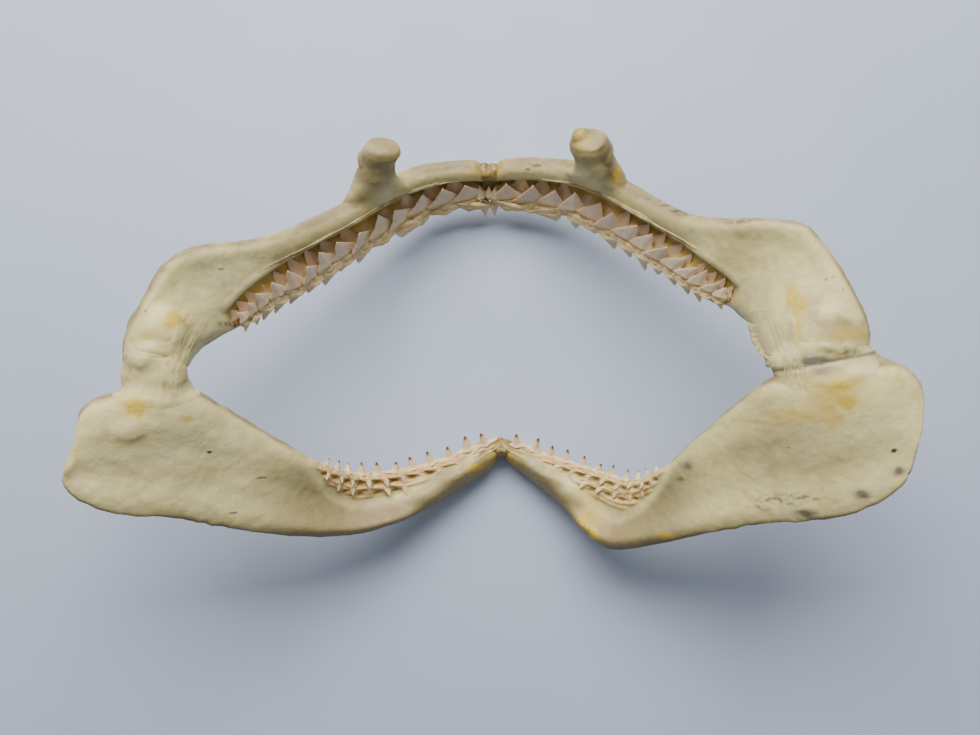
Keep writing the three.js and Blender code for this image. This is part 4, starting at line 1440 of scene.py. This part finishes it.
def strand_tree() -> bpy.types.NodeTree:
    """Geometry nodes that turn lines into round strands.

    Returns:
        The tree, with inputs for the strands' radius, sides and finish.
    """
    known = bpy.data.node_groups.get("strands")
    if known:
        return known
    nodes = start_tree("strands", {"Radius": "Float", "Sides": "Int", "Finish": "Material"})
    entry = nodes.add("NodeGroupInput").outputs
    line = nodes.add("GeometryNodeMeshToCurve", {0: entry["Geometry"]})
    girth = nodes.add("GeometryNodeInputNamedAttribute", {"Name": "girth"}, data_type="FLOAT")
    sized = nodes.add("GeometryNodeSetCurveRadius", {"Curve": line.outputs[0], "Radius": girth.outputs[0]})
    ring = nodes.add("GeometryNodeCurvePrimitiveCircle",
                     {"Resolution": entry["Sides"], "Radius": entry["Radius"]})
    tube = nodes.add("GeometryNodeCurveToMesh", {0: sized.outputs[0], 1: ring.outputs[0], "Fill Caps": True})
    if "Scale" in tube.inputs:
        nodes.tree.links.new(girth.outputs[0], tube.inputs["Scale"])
    return end_tree(nodes, tube.outputs[0], entry["Finish"])


def grow_with_nodes(name: str, start: bpy.types.Object, tree: bpy.types.NodeTree,
                    settings: dict[str, Any]) -> bpy.types.Object:
    """Runs a geometry tree on a helper and keeps the result as a plain mesh.

    Args:
        name: Name of the new object.
        start: The helper that the tree works on, removed at the end.
        tree: The geometry tree.
        settings: Values for the tree's named inputs.

    Returns:
        The new object.
    """
    modifier = start.modifiers.new("grow", "NODES")
    modifier.node_group = tree
    for item in tree.interface.items_tree:
        if item.in_out == "INPUT" and item.name in settings:
            modifier[item.identifier] = settings[item.name]
    mesh = evaluated(start)
    discard(start)
    mesh.name = name
    mesh.shade_smooth()
    return put_in_scene(name, mesh)


def set_teeth(label: str, teeth: Sequence[ToothForm], finish: ToothFinish, roots: Array, turns: Sequence,
              sizes: Array, forms: Array) -> bpy.types.Object:
    """Sets teeth on their roots and joins them in one piece.

    Args:
        label: The piece's name.
        teeth: The forms in use.
        finish: What the teeth are made of.
        roots: Place of each root in millimetres.
        turns: Turn of each tooth.
        sizes: Width, thickness and height of each tooth in millimetres.
        forms: Number of each tooth's form.

    Returns:
        The piece.
    """
    mesh = bpy.data.meshes.new(label)
    mesh.from_pydata(in_metres(roots), [], [])
    for key, values in (("turn", np.array(turns)), ("size", np.array(sizes) * MM)):
        mesh.attributes.new(key, "FLOAT_VECTOR", "POINT").data.foreach_set("vector", values.ravel())
    mesh.attributes.new("form", "INT", "POINT").data.foreach_set("value", forms.astype(np.int32))
    helper = put_in_scene(label, mesh)
    shelf = bpy.data.collections.new(f"{label}_forms")
    bpy.context.scene.collection.children.link(shelf)
    made = [form.object(f"{label}_{number}") for number, form in enumerate(teeth)]
    for tooth in made:
        bpy.context.scene.collection.objects.unlink(tooth)
        shelf.objects.link(tooth)
    row = grow_with_nodes(label, helper, tooth_row_tree(),
                          {"Teeth": shelf, "Size": 1.0, "Finish": finish.material()})
    discard(*made)
    bpy.data.collections.remove(shelf)
    return finish_piece(row, finish, "cartilage")


@dataclass
class ToothRow:
    """One row of teeth on a jaw half.

    set_off is how far the row stands from the tooth border, up which way it points (1 out of the
    mouth's edge, -1 lying back), tilt how far it leans to the throat side.
    """

    blade: Blade
    plan: ToothPlan
    forms: Sequence[ToothForm]
    finish: ToothFinish
    label: str
    set_off: float
    height: float
    tilt: float
    working: bool
    lift: float = 0.0
    between: float = 0.0
    uneven: float = 0.06
    broad: float = 1.09
    shingle: float = 0.0
    span: tuple[float, float] = (0.0, 99.0)
    seed: int = 1

    def build(self) -> bpy.types.Object:
        """Works out each tooth's place, turn, size and form, and sets the row."""
        rng = np.random.default_rng(self.seed)
        at, width = self.plan.places(self.blade)
        at = at + self.between * np.gradient(at)
        keep = (at > self.span[0]) & (at < self.span[1])
        at, width = at[keep], width[keep]
        order = np.arange(len(keep))[keep] / (len(keep) - 1)
        first, second, normal = self.blade.frames(at)
        carrier, other = (second, first) if self.blade.tooth_border else (first, second)
        chord = np.linalg.norm(other - carrier, axis=1)
        small = 0.3 + 0.7 * width / self.plan.places(self.blade)[1].max()
        away = self.set_off * small / chord
        share = 1 - away if self.blade.tooth_border else away
        root = self.blade.face(at, share, self.lift)
        step = self.blade.face(at + 0.05, share, self.lift) - root
        inward = unit(other - carrier)
        up = inward * (-1 if self.working else 1) + self.tilt * normal
        along = unit(step)
        up = unit(up - np.einsum("ij,ij->i", up, along)[:, None] * along)
        front = unit(np.cross(up, along))
        facing = np.sign(np.einsum("ij,ij->i", front, normal))[:, None] * (-1 if self.working else 1)
        front = front * facing
        side = np.cross(front, up)
        size = np.minimum(1.0, 0.1 + 0.9 * width / 11.0) * self.height
        turns = []
        for k in range(len(at)):
            basis = Matrix((side[k], front[k], up[k])).transposed()
            wobble = (Matrix.Rotation(self.shingle + rng.normal(0, self.uneven), 3, "Z")
                      @ Matrix.Rotation(rng.normal(0, self.uneven), 3, "X")
                      @ Matrix.Rotation(rng.normal(0, self.uneven), 3, "Y"))
            turns.append((basis @ wobble).to_euler())
        sizes = np.stack([width * rng.normal(self.broad, 0.04, len(at)), size,
                          size * rng.normal(1, self.uneven, len(at))], -1)
        order = np.clip((order * len(self.forms)).astype(int), 0, len(self.forms) - 1)
        sign = float(np.sign(np.mean(np.einsum("ij,ij->i", side, along))))
        leaning = [replace(form, lean=form.lean * sign, shift=form.shift * sign) for form in self.forms]
        return set_teeth(self.label, leaning, self.finish, root, turns, sizes, order)


UPPER_FORMS = tuple(ToothForm(lean, notch, fullness=full, thickness=0.28) for lean, notch, full in (
    (0.02, 0.1, 0.75), (0.16, 0.2, 0.95), (0.32, 0.3, 1.15), (0.38, 0.32, 1.2), (0.4, 0.3, 1.2)))
WORKING_FORMS = tuple(ToothForm(lean, 0.3, fullness=1.0, thickness=0.4, root=0.5)
                      for lean in (0.05, 0.22, 0.3))
LOWER_FORMS = tuple(ToothForm(lean, cusp=0.38, thickness=0.3) for lean in (0.0, 0.06, 0.14))
HOOK_FORMS = tuple(ToothForm(lean, cusp=0.42, shift=-0.24, thickness=0.36) for lean in (-0.12, -0.1, -0.08))


def tooth_rows(half: JawHalf) -> list[bpy.types.Object]:
    """All tooth rows of one jaw half.

    Args:
        half: The jaw half that carries them.

    Returns:
        The pieces.
    """
    blade, side = half.blade, half.blade.side
    if blade.jaw == "upper":
        finish = ToothFinish(name="upper_tooth")
        creamy = ToothFinish(name="upper_working_tooth", enamel=(0.80, 0.63, 0.34), root=(0.70, 0.53, 0.26))
        shaded = ToothFinish(name="upper_third_tooth", enamel=(0.64, 0.45, 0.30), root=(0.46, 0.22, 0.07))
        rows = (
            ToothRow(blade, UPPER_PLAN, WORKING_FORMS, creamy, f"upper_working_teeth_{side}", 3.0, 8.4, -0.2,
                     True, lift=1.7, broad=1.55, uneven=0.12, seed=3),
            ToothRow(blade, UPPER_PLAN, UPPER_FORMS, finish, f"upper_second_teeth_{side}", 8.8, 13.2, 0.2,
                     False, lift=1.8, broad=1.6, shingle=0.16, uneven=0.08, seed=4),
            ToothRow(blade, UPPER_PLAN, UPPER_FORMS, shaded, f"upper_third_teeth_{side}", 11.0, 13.4, 0.0,
                     False, lift=-0.8, between=0.5, broad=1.4, seed=5),
        )
    else:
        finish = ToothFinish(name="lower_tooth", enamel=(0.76, 0.57, 0.33), root=(0.62, 0.38, 0.14))
        worn = ToothFinish(name="lower_working_tooth", enamel=(0.76, 0.57, 0.33), root=(0.70, 0.46, 0.20),
                           tip_amount=0.95)
        rows = (
            ToothRow(blade, LOWER_PLAN, LOWER_FORMS, worn, f"lower_working_teeth_{side}", 1.0, 8.2, 0.1,
                     True, lift=0.6, broad=1.55, uneven=0.1, seed=6),
            ToothRow(blade, LOWER_PLAN, HOOK_FORMS, finish, f"lower_second_teeth_{side}", 3.2, 6.2, 0.16,
                     False, uneven=0.14, lift=1.1, span=(1.9, 6.0), broad=1.2, seed=7),
            ToothRow(blade, LOWER_PLAN, HOOK_FORMS, finish, f"lower_third_teeth_{side}", 9.4, 6.2, 0.12,
                     False, uneven=0.14, lift=0.9, span=(3.2, 5.6), broad=1.2, seed=8),
        )
    return [row.build() for row in rows]


@dataclass
class MiddleTeeth:
    """Small teeth that stand on the symphysis: (x, y, z) of the root, height, width and whether it
    points down over the edge."""

    places: Sequence[tuple[tuple[float, float, float], float, float, bool]]
    label: str = "upper_middle_teeth"

    def build(self) -> bpy.types.Object:
        """Sets the teeth and joins them."""
        finish = ToothFinish(name="upper_tooth")
        turns, sizes = [], []
        for _, height, width, down in self.places:
            up = Vector((0, -0.75, -0.66)) if down else Vector((0.0, 0.6, 0.8))
            side = Vector((1, 0, 0))
            turns.append(Matrix((side, up.cross(side), up)).transposed().to_euler())
            sizes.append((width, height, height))
        roots = np.array([place[0] for place in self.places], float)
        return set_teeth(self.label, [ToothForm(0.0, notch=0.1, thickness=0.34)], finish, roots, turns,
                         np.array(sizes), np.zeros(len(sizes)))


# ---------------------------------------------------------------- strands
def lay_strands(name: str, lines: Sequence[Array], girths: Sequence[Array], radius: float,
                finish: Finish, sides: int = 6) -> bpy.types.Object:
    """Round strands along lines, as one piece.

    Args:
        name: The piece's name.
        lines: Points of each line, in millimetres.
        girths: Thickness factor of each point.
        radius: Radius in millimetres where the factor is 1.
        finish: What the strands are made of.
        sides: Faces round a strand.

    Returns:
        The piece.
    """
    edges, shift = [], 0
    for line in lines:
        edges += [(shift + k, shift + k + 1) for k in range(len(line) - 1)]
        shift += len(line)
    mesh = bpy.data.meshes.new(name)
    mesh.from_pydata(in_metres(np.concatenate(lines)), edges, [])
    girth = mesh.attributes.new("girth", "FLOAT", "POINT")
    girth.data.foreach_set("value", np.concatenate(girths).astype(np.float32))
    made = grow_with_nodes(name, put_in_scene(name, mesh), strand_tree(),
                           {"Radius": radius * MM, "Sides": sides, "Finish": finish.material()})
    return finish_piece(made, finish, "ligament")


@dataclass
class GrooveStrands:
    """Dried fibres that lie in the groove over the upper teeth."""

    half: JawHalf
    count: int = 22
    radius: float = 0.3
    seed: int = 21

    def build(self) -> bpy.types.Object:
        """Lays the strands along the groove."""
        blade, rng = self.half.blade, np.random.default_rng(self.seed)
        lines, girths = [], []
        for number in range(self.count):
            start = rng.uniform(0.3, 5.2)
            at = np.linspace(start, min(7.8, start + rng.uniform(1.4, 3.6)), 60)
            t = np.linspace(0, 1, 60)
            edge = np.interp(at, BAR_EDGE_AT, BAR_EDGE_SHARE)
            share = edge - 0.10 + 0.12 * (number / self.count) + 0.008 * np.sin(5 * t + rng.uniform(0, 6))
            above = 0.8 - 1.9 * smoothstep(share - edge, -0.035, 0.03) + 0.15 * np.sin(math.pi * t)
            lines.append(blade.face(at, share, above))
            girths.append(0.35 + 0.75 * np.sin(math.pi * t) ** 0.5 * rng.uniform(0.6, 1.1))
        return lay_strands(f"groove_strands_{blade.side}", lines, girths, self.radius, STRAND, 7)


# ---------------------------------------------------------------- ligaments
def height_reader(skins: Sequence[Skin]) -> Callable[[float, float], float]:
    """A reader of the highest surface over any place.

    Args:
        skins: The surfaces.

    Returns:
        A function of X and Y that gives the height, not a number where there is no surface.
    """
    trees = [BVHTree.FromPolygons(skin.points.tolist(), [tuple(map(int, f)) for f in skin.faces])
             for skin in skins]

    def read(x: float, y: float) -> float:
        """The height at one place."""
        hits = [tree.ray_cast(Vector((x, y, 200.0)), Vector((0, 0, -1)))[0] for tree in trees]
        return max((hit.z for hit in hits if hit is not None), default=math.nan)

    return read


@dataclass
class JointLigament:
    """Dried ligament that wraps a jaw joint like a skin, with the fibres of its strap.

    lumps fill the joint between the two cartilages; strap is the fibrous band as (x, y, half width)
    from top to bottom; capsule the round part over the joint as (x, y, half x, half y).
    """

    side: str
    upper: JawHalf
    lower: JawHalf
    lumps: Sequence[Growth]
    strap: Sequence[tuple[float, float, float]]
    capsule: tuple[float, float, float, float]
    creases: Sequence[tuple[float, float, float, float]] = ()
    crease_stain: StainAndShading = StainAndShading.BROWN
    fibres: int = 60
    fibre_radius: float = 0.22
    voxel: float = 0.75
    rounds: int = 22
    extent: float = 52.0
    thickness: float = 0.9
    seed: int = 31

    def strap_place(self, points: Array) -> tuple[Array, Array]:
        """Share along the strap, and distance across it in half widths."""
        rows = np.array(self.strap, float)
        line = catmull(rows, np.linspace(0, len(rows) - 1, 60))
        near = ((points[:, None, :2] - line[:, :2]) ** 2).sum(-1).argmin(-1)
        return near / 59, (points[:, 0] - line[near, 0]) / line[near, 2]

    def cover(self, points: Array) -> tuple[Array, Array, Array]:
        """How far the capsule and the strap cover places.

        Args:
            points: The places.

        Returns:
            Cover of the capsule and of the strap, from 0 to 1, and distance across the strap.
        """
        cx, cy, hx, hy = self.capsule
        ragged = 0.16 * rough_noise(points, 6.0, self.seed)
        away = np.hypot((points[:, 0] - cx) / hx, (points[:, 1] - cy) / hy)
        along, across = self.strap_place(points)
        band = (1 - smoothstep(np.abs(across) + ragged, 0.3, 1.5)) * window(along, (0.0, 0.4), (0.6, 1.0))
        return 1 - smoothstep(away + ragged, 0.4, 1.35), band * smoothstep(points[:, 2], 60, 85), across

    def crease_lines(self, points: Array) -> Iterator[Array]:
        """A bell along each crease, read at points."""
        for x_from, y_from, x_to, y_to in self.creases:
            run = np.array([x_to - x_from, y_to - y_from])
            gap = points[:, :2] - [x_from, y_from]
            share = np.clip(gap @ run / (run @ run), 0, 1)
            yield bell(np.linalg.norm(gap - share[:, None] * run, axis=1), 0, 0.8)

    def wrap(self) -> Skin:
        """The surface of both cartilages and the lumps, near the joint."""
        skins = [self.upper.skin, self.lower.skin, *(lump.skin for lump in self.lumps)]
        whole = melt_together(skins, self.voxel)
        cx, cy, _, _ = self.capsule
        close = np.hypot(whole.points[:, 0] - cx, whole.points[:, 1] - cy) < self.extent
        number = np.where(close, np.cumsum(close) - 1, -1)
        faces = number[np.array([f if len(f) == 4 else (*f, f[0]) for f in whole.faces])]
        return Skin(whole.points[close], faces[(faces >= 0).all(1)])

    def build(self) -> bpy.types.Object:
        """Shrinks a skin round the joint and gives it its fibres."""
        skin = self.wrap()
        capsule, band, across = self.cover(skin.points)
        cover = np.maximum(capsule, band)
        bridged = draw_over(skin, MEMBRANE_STEPS, self.rounds, smoothstep(cover, 0.03, 0.35))
        normals = Skin(bridged, skin.faces).normals()
        along, _ = self.strap_place(skin.points)
        warped = np.stack([across * 8.0, along * 2.2, skin.points[:, 2] * 0.02], -1)
        finer = lattice_noise(warped * [2.3, 1.4, 1], 1.0, self.seed + 1)
        strands = lattice_noise(warped, 1.0, self.seed) + 0.6 * finer
        fibrous = np.clip(band + 0.3 * capsule, 0, 1)
        thick = 0.15 * capsule + 0.4 * band + 0.3 * strands * fibrous
        thick += 0.35 * rough_noise(skin.points, 4.0, self.seed + 4) * capsule
        for line in self.crease_lines(skin.points):
            thick -= 0.9 * line
        shown = smoothstep(cover, 0.04, 0.75)
        points = bridged + normals * (0.75 * shown - 0.45 + thick * shown**2)[:, None]
        points = relax(points, skin.edges(), 5)
        kept = skin.faces[(cover[skin.faces] > 0.03).all(1)]
        used, kept = np.unique(kept, return_inverse=True)
        self.surface = Skin(points[used], kept.reshape(-1, 4))
        layers = self.stain(cover[used], (fibrous * np.clip(strands, -1, 1))[used])
        name = f"joint_sheet_{self.side}"
        piece = thick_sheet(name, self.surface, self.thickness, paint_attributes(layers))
        self.lay_fibres()
        return finish_piece(piece, CartilageFinish(name="dried_ligament"),
                            "ligament", f"joint_ligament_{self.side}")

    def stain(self, cover: Array, strands: Array) -> Array:
        """The paint layers: those of the cartilage at the edge, the fibres with painted shade in their folds
        and painted highlight on their crests, and the creases.

        Args:
            cover: How far the ligament covers each point.
            strands: Height of the fibres at each point, below 0 between them.

        Returns:
            The layers.
        """
        points, halves = self.surface.points, (self.upper, self.lower)
        marks = [mark for half in halves for mark in MARKS[half.name]]
        layers = paint_layers(points, self.surface.normals(), marks)
        nearest = nearest_points(np.concatenate([half.skin.points for half in halves]), points)[:, 0]
        under = np.concatenate([half.layers for half in halves])[nearest]
        layers = np.maximum(layers, under * (1 - smoothstep(cover, 0.1, 0.7))[:, None])
        # Painted shade in the folds between the fibres and painted highlight on their crests, following the
        # fibres' height.
        fold, crest = np.clip(-strands, 0, 1), np.clip(strands, 0, 1)
        add_paint_layer(layers, StainAndShading.TAN, (0.24 + 0.45 * fold) * smoothstep(cover, 0.15, 0.8))
        add_paint_layer(layers, StainAndShading.PALE, 0.5 * crest)
        for line in self.crease_lines(points):
            add_paint_layer(layers, self.crease_stain, line)
        return layers

    def lay_fibres(self) -> bpy.types.Object:
        """Fine fibres that run down the strap and fan out at its ends."""
        rng = np.random.default_rng(self.seed)
        rows = np.array(self.strap, float)
        read = height_reader([self.surface])
        lines, girths = [], []
        for _ in range(self.fibres):
            start, stop = rng.uniform(0.05, 0.35), rng.uniform(0.65, 0.96)
            t = np.linspace(start, stop, 70)
            line = catmull(rows, t * (len(rows) - 1))
            q = rng.uniform(-0.95, 0.95) + 0.08 * np.sin(7 * t + rng.uniform(0, 6))
            x, y = line[:, 0] + q * line[:, 2], line[:, 1]
            z = np.array([read(*place) for place in zip(x, y)])
            if np.isnan(z).any():
                continue
            z = np.convolve(np.pad(z, 2, mode="edge"), np.full(5, 0.2), mode="valid")
            lines.append(np.stack([x, y, z - 0.06], -1))
            swell = np.maximum(np.sin(math.pi * (t - start) / (stop - start)), 0.0) ** 0.5
            girths.append(rng.uniform(0.5, 1.1) * (0.15 + 0.85 * swell))
        return lay_strands(f"joint_fibres_{self.side}", lines, girths, self.fibre_radius, PALE_STRAND)


# ---------------------------------------------------------------- pads and skin
@dataclass
class SymphysisPad:
    """The soft pad between the two halves of a jaw."""

    left: Blade
    right: Blade
    girth: float
    seed: int
    overlap: float = 5.0
    ring_count: int = 37
    sides: int = 96

    def build(self) -> bpy.types.Object:
        """Lofts the pad from inside one half to inside the other, sagging and lumpy between them."""
        low, high = SYMPHYSIS[self.left.jaw]
        at = np.array([0.1])
        a, b = (blade.slices(at, self.sides)[0][0] for blade in (self.left, self.right))
        steps = np.linspace(0, 1, self.ring_count)[:, None, None]
        rings = a * (1 - steps) + b * steps
        rings[..., 0] = low - self.overlap + steps[..., 0] * (high - low + 2 * self.overlap)
        centre = rings.mean(1, keepdims=True)
        full = np.interp(steps, (0, 0.2, 0.36, 0.5, 0.64, 0.8, 1), (0.5, 0.84, 0.88, 0.82, 0.88, 0.84, 0.5))
        rings[..., 1:] = (centre + (rings - centre) * full * self.girth)[..., 1:]
        flat = rings.reshape(-1, 3)
        out = unit((rings - centre) * [0, 1, 1]).reshape(-1, 3)
        flat = flat + out * (0.9 * rough_noise(flat, 3.0, self.seed))[:, None]
        flat[:, 2] = np.maximum(flat[:, 2], 0.05)
        self.skin = loft(flat.reshape(rings.shape))
        piece = new_mesh(f"{self.left.jaw}_pad", self.skin)
        return finish_piece(piece, GRISTLE, "symphysis_pad", f"{self.left.jaw}_symphysis_pad")


@dataclass
class ChinStrands:
    """Dried fibres that cross from one lower half to the other over the symphysis."""

    surfaces: Sequence[Skin]
    middle: tuple[float, float] = (6.5, -41.0)
    count: int = 34
    radius: float = 0.34
    seed: int = 91

    def build(self) -> bpy.types.Object:
        """Lays the fibres over what is under them."""
        rng = np.random.default_rng(self.seed)
        read = height_reader(self.surfaces)
        lines, girths = [], []
        for _ in range(self.count):
            x = np.linspace(self.middle[0] - rng.uniform(6, 17), self.middle[0] + rng.uniform(6, 17), 50)
            off = x - self.middle[0]
            y = self.middle[1] + rng.uniform(-5.5, 5.0) - 0.55 * np.abs(off)
            y = y - 0.6 * np.sin(0.3 * x + rng.uniform(0, 6))
            z = np.array([read(*place) for place in zip(x, y)])
            if np.isnan(z).sum() > 8:
                continue
            known = ~np.isnan(z)
            z = np.interp(x, x[known], z[known])
            z = np.maximum(z, np.convolve(np.pad(z, 4, mode="edge"), np.full(9, 1 / 9), mode="valid"))
            lines.append(np.stack([x, y, z + rng.uniform(-0.05, 0.35)], -1))
            girths.append(rng.uniform(0.6, 1.3) * (0.2 + 0.8 * np.sin(np.linspace(0, math.pi, 50)) ** 0.5))
        return lay_strands("chin_strands", lines, girths, self.radius, CHIN_STRAND)


@dataclass
class CornerSkin:
    """A ragged scrap of dried skin at the right corner of the mouth.

    free_edge runs down the corner as (x, y, z). From there the scrap reaches over the surfaces
    under it and lies on them.
    """

    free_edge: Sequence[tuple[float, float, float]]
    surfaces: Sequence[Skin]
    reach: float = 9.0
    thickness: float = 0.6
    sunk: float = 0.9
    rows: int = 90
    columns: int = 34
    settle_steps: int = 200

    def build(self) -> bpy.types.Object:
        """Makes the scrap as a thin wavy sheet with a torn edge."""
        rows, columns = self.rows, self.columns
        edge = catmull(np.array(self.free_edge, float), np.linspace(0, len(self.free_edge) - 1, rows))
        share = np.linspace(0, 1, columns)
        points = edge[:, None] + share[None, :, None] * np.array([self.reach, 1.0, 5.0])
        tear = (1 - share[None, :]) ** 3
        flat = points.reshape(-1, 3)
        points[..., 0] -= 1.6 * tear * rough_noise(flat, 2.4, 41).reshape(rows, columns)
        read = height_reader(self.surfaces)
        under = np.array([[read(x, y) for x, y in row] for row in points[..., :2]])
        lies = ~np.isnan(under)
        height = np.where(lies, under - self.sunk, points[..., 2])
        free = ~lies
        free[:, 0] = False
        for _ in range(self.settle_steps):
            padded = np.pad(height, 1, mode="edge")
            mean = (padded[:-2, 1:-1] + padded[2:, 1:-1] + padded[1:-1, :-2] + padded[1:-1, 2:]) / 4
            height = np.where(free, mean, height)
        waves = rough_noise(flat, 4.0, 44).reshape(rows, columns)
        points[..., 2] = height + 0.25 * waves * (1 - share[None, :])
        grid = np.arange(rows * columns).reshape(rows, columns)
        faces = np.stack([grid[:-1, :-1], grid[:-1, 1:], grid[1:, 1:], grid[1:, :-1]], -1).reshape(-1, 4)
        piece = thick_sheet("corner_skin", Skin(points.reshape(-1, 3), faces), self.thickness)
        finish = CartilageFinish(name="skin_film", ivory=(0.52, 0.44, 0.19), pale=(0.60, 0.52, 0.26))
        return finish_piece(piece, finish, "dried_skin", "mouth_corner_skin_right")


# ---------------------------------------------------------------- studio
@dataclass
class Studio:
    """Table, lights and camera."""

    lens: float = 30.0
    camera_height: float = 0.490

    def build(self) -> None:
        """Makes the table, the lights and the camera."""
        bpy.ops.mesh.primitive_plane_add(size=14)
        table = bpy.context.object
        table.name = "table"
        table.data.materials.append(TABLE_TOP.material())
        self.light("window", (-0.12, 0.86, 0.90), (1.2, 0.7), 38.0, (1.0, 0.985, 0.96))
        self.light("ceiling", (0.15, 0.35, 2.2), (2.0, 2.0), 5.5, (0.95, 0.97, 1.0))
        world = bpy.data.worlds.new("room")
        world.use_nodes = True
        world.node_tree.nodes["Background"].inputs["Color"].default_value = (0.80, 0.86, 0.95, 1)
        world.node_tree.nodes["Background"].inputs["Strength"].default_value = 0.19
        bpy.context.scene.world = world
        camera = put_in_scene("camera", bpy.data.cameras.new("camera"))
        camera.data.lens = self.lens
        camera.data.sensor_width = 36.0
        camera.location = (-MIDDLE[0] * MM, -MIDDLE[1] * MM, self.camera_height)
        bpy.context.scene.camera = camera

    @staticmethod
    def light(name: str, place: tuple[float, float, float], size: tuple[float, float], power: float,
              colour: Colour) -> None:
        """A rectangular area light that faces the jaws.

        Args:
            name: Its name.
            place: Where it hangs, in metres.
            size: Its sides, in metres.
            power: Its power in watts.
            colour: Its colour.
        """
        data = bpy.data.lights.new(name, "AREA")
        data.shape = "RECTANGLE"
        data.size, data.size_y = size
        data.energy = power
        data.color = colour
        lamp = put_in_scene(name, data)
        lamp.location = place
        lamp.rotation_euler = (Vector((0, 0, 0.03)) - Vector(place)).to_track_quat("-Z", "Y").to_euler()


def main() -> None:
    """Builds the jaws and the studio."""
    logging.basicConfig(level=logging.INFO, format="%(name)s: %(message)s")
    halves = {
        "upper_left": JawHalf("upper_left", UPPER_LEFT, (
            Knob(ORBITAL_LEFT, 51, BAR_RUN_LEFT, (-56, 103, 54)).growth(),
            swelling((-66, 109, 62), (3.5, 6, 4), 69),
            swelling((-157, 17, 106.5), (13.5, 14, 8), 61)), 11),
        "upper_right": JawHalf("upper_right", UPPER_RIGHT, (
            Knob(ORBITAL_RIGHT, 52, BAR_RUN_RIGHT, (51, 107, 54), pit=(53, 114, 72)).growth(),
            swelling((47, 119, 68), (5, 5, 4), 67), swelling((61, 112, 64), (3.5, 7, 4), 68),
            swelling((160, 21, 106), (15, 14, 8.5), 62)), 12),
        "lower_left": JawHalf("lower_left", LOWER_LEFT, (
            swelling((-173, -24, 110.5), (17.5, 12, 7.5), 63),), 13),
        "lower_right": JawHalf("lower_right", LOWER_RIGHT, (
            swelling((177, -8.5, 108.5), (20, 14, 8), 64),), 14),
    }
    for half in halves.values():
        half.build().dress()
        tooth_rows(half)
        if half.blade.jaw == "upper":
            GrooveStrands(half, seed=20 + len(half.name)).build()
    left = JointLigament(
        "left", halves["upper_left"], halves["lower_left"],
        (swelling((-157, -3, 107), (14.5, 12, 7), 81), swelling((-164, -4, 107), (8.5, 11, 6.5), 84),
         swelling((-147, -10, 102), (5.5, 6, 4), 85)),
        strap=((-136, 38, 12), (-142.5, 18, 4.5), (-145.5, 3.5, 4), (-147, -12, 5), (-146, -26, 7)),
        capsule=(-155, -4, 25, 17), creases=((-164, 7.2, -148, 4.9),))
    left.build()
    right = JointLigament(
        "right", halves["upper_right"], halves["lower_right"],
        (swelling((150, 1, 105.5), (18, 12, 7), 82), swelling((168, 4.5, 107.5), (15, 9, 6.5), 83)),
        strap=((134, 54, 8), (137, 24, 5.5), (139, 10, 4.5), (142, -5, 6), (146, -26, 12)),
        capsule=(154, 1, 25, 12), creases=((131, -2, 146, 0.5), (146, 0.5, 178, 7)),
        crease_stain=StainAndShading.GREY)
    right.build()
    MiddleTeeth((
        ((-6.0, 99.0, 17.5), 8.5, 7.0, False), ((-0.6, 99.5, 18.0), 7.0, 5.0, False),
        ((2.9, 99.0, 17.5), 7.5, 5.5, False), ((-2.8, 95.5, 12.0), 8.5, 6.5, True),
        ((2.6, 95.8, 12.0), 8.5, 6.0, True),
    )).build()
    SymphysisPad(halves["upper_left"].blade, halves["upper_right"].blade, 1.02, 71).build()
    chin = SymphysisPad(halves["lower_left"].blade, halves["lower_right"].blade, 1.02, 72)
    chin.build()
    ChinStrands([halves["lower_left"].skin, halves["lower_right"].skin, chin.skin]).build()
    CornerSkin(
        ((127.5, 27.5, 76), (128, 22, 84), (128.5, 14.5, 90), (129, 8.5, 94), (131.5, 5, 99), (132, 0, 101)),
        [halves["upper_right"].skin, halves["lower_right"].skin, right.surface]).build()
    Studio().build()


if __name__ == "__main__":
    main()
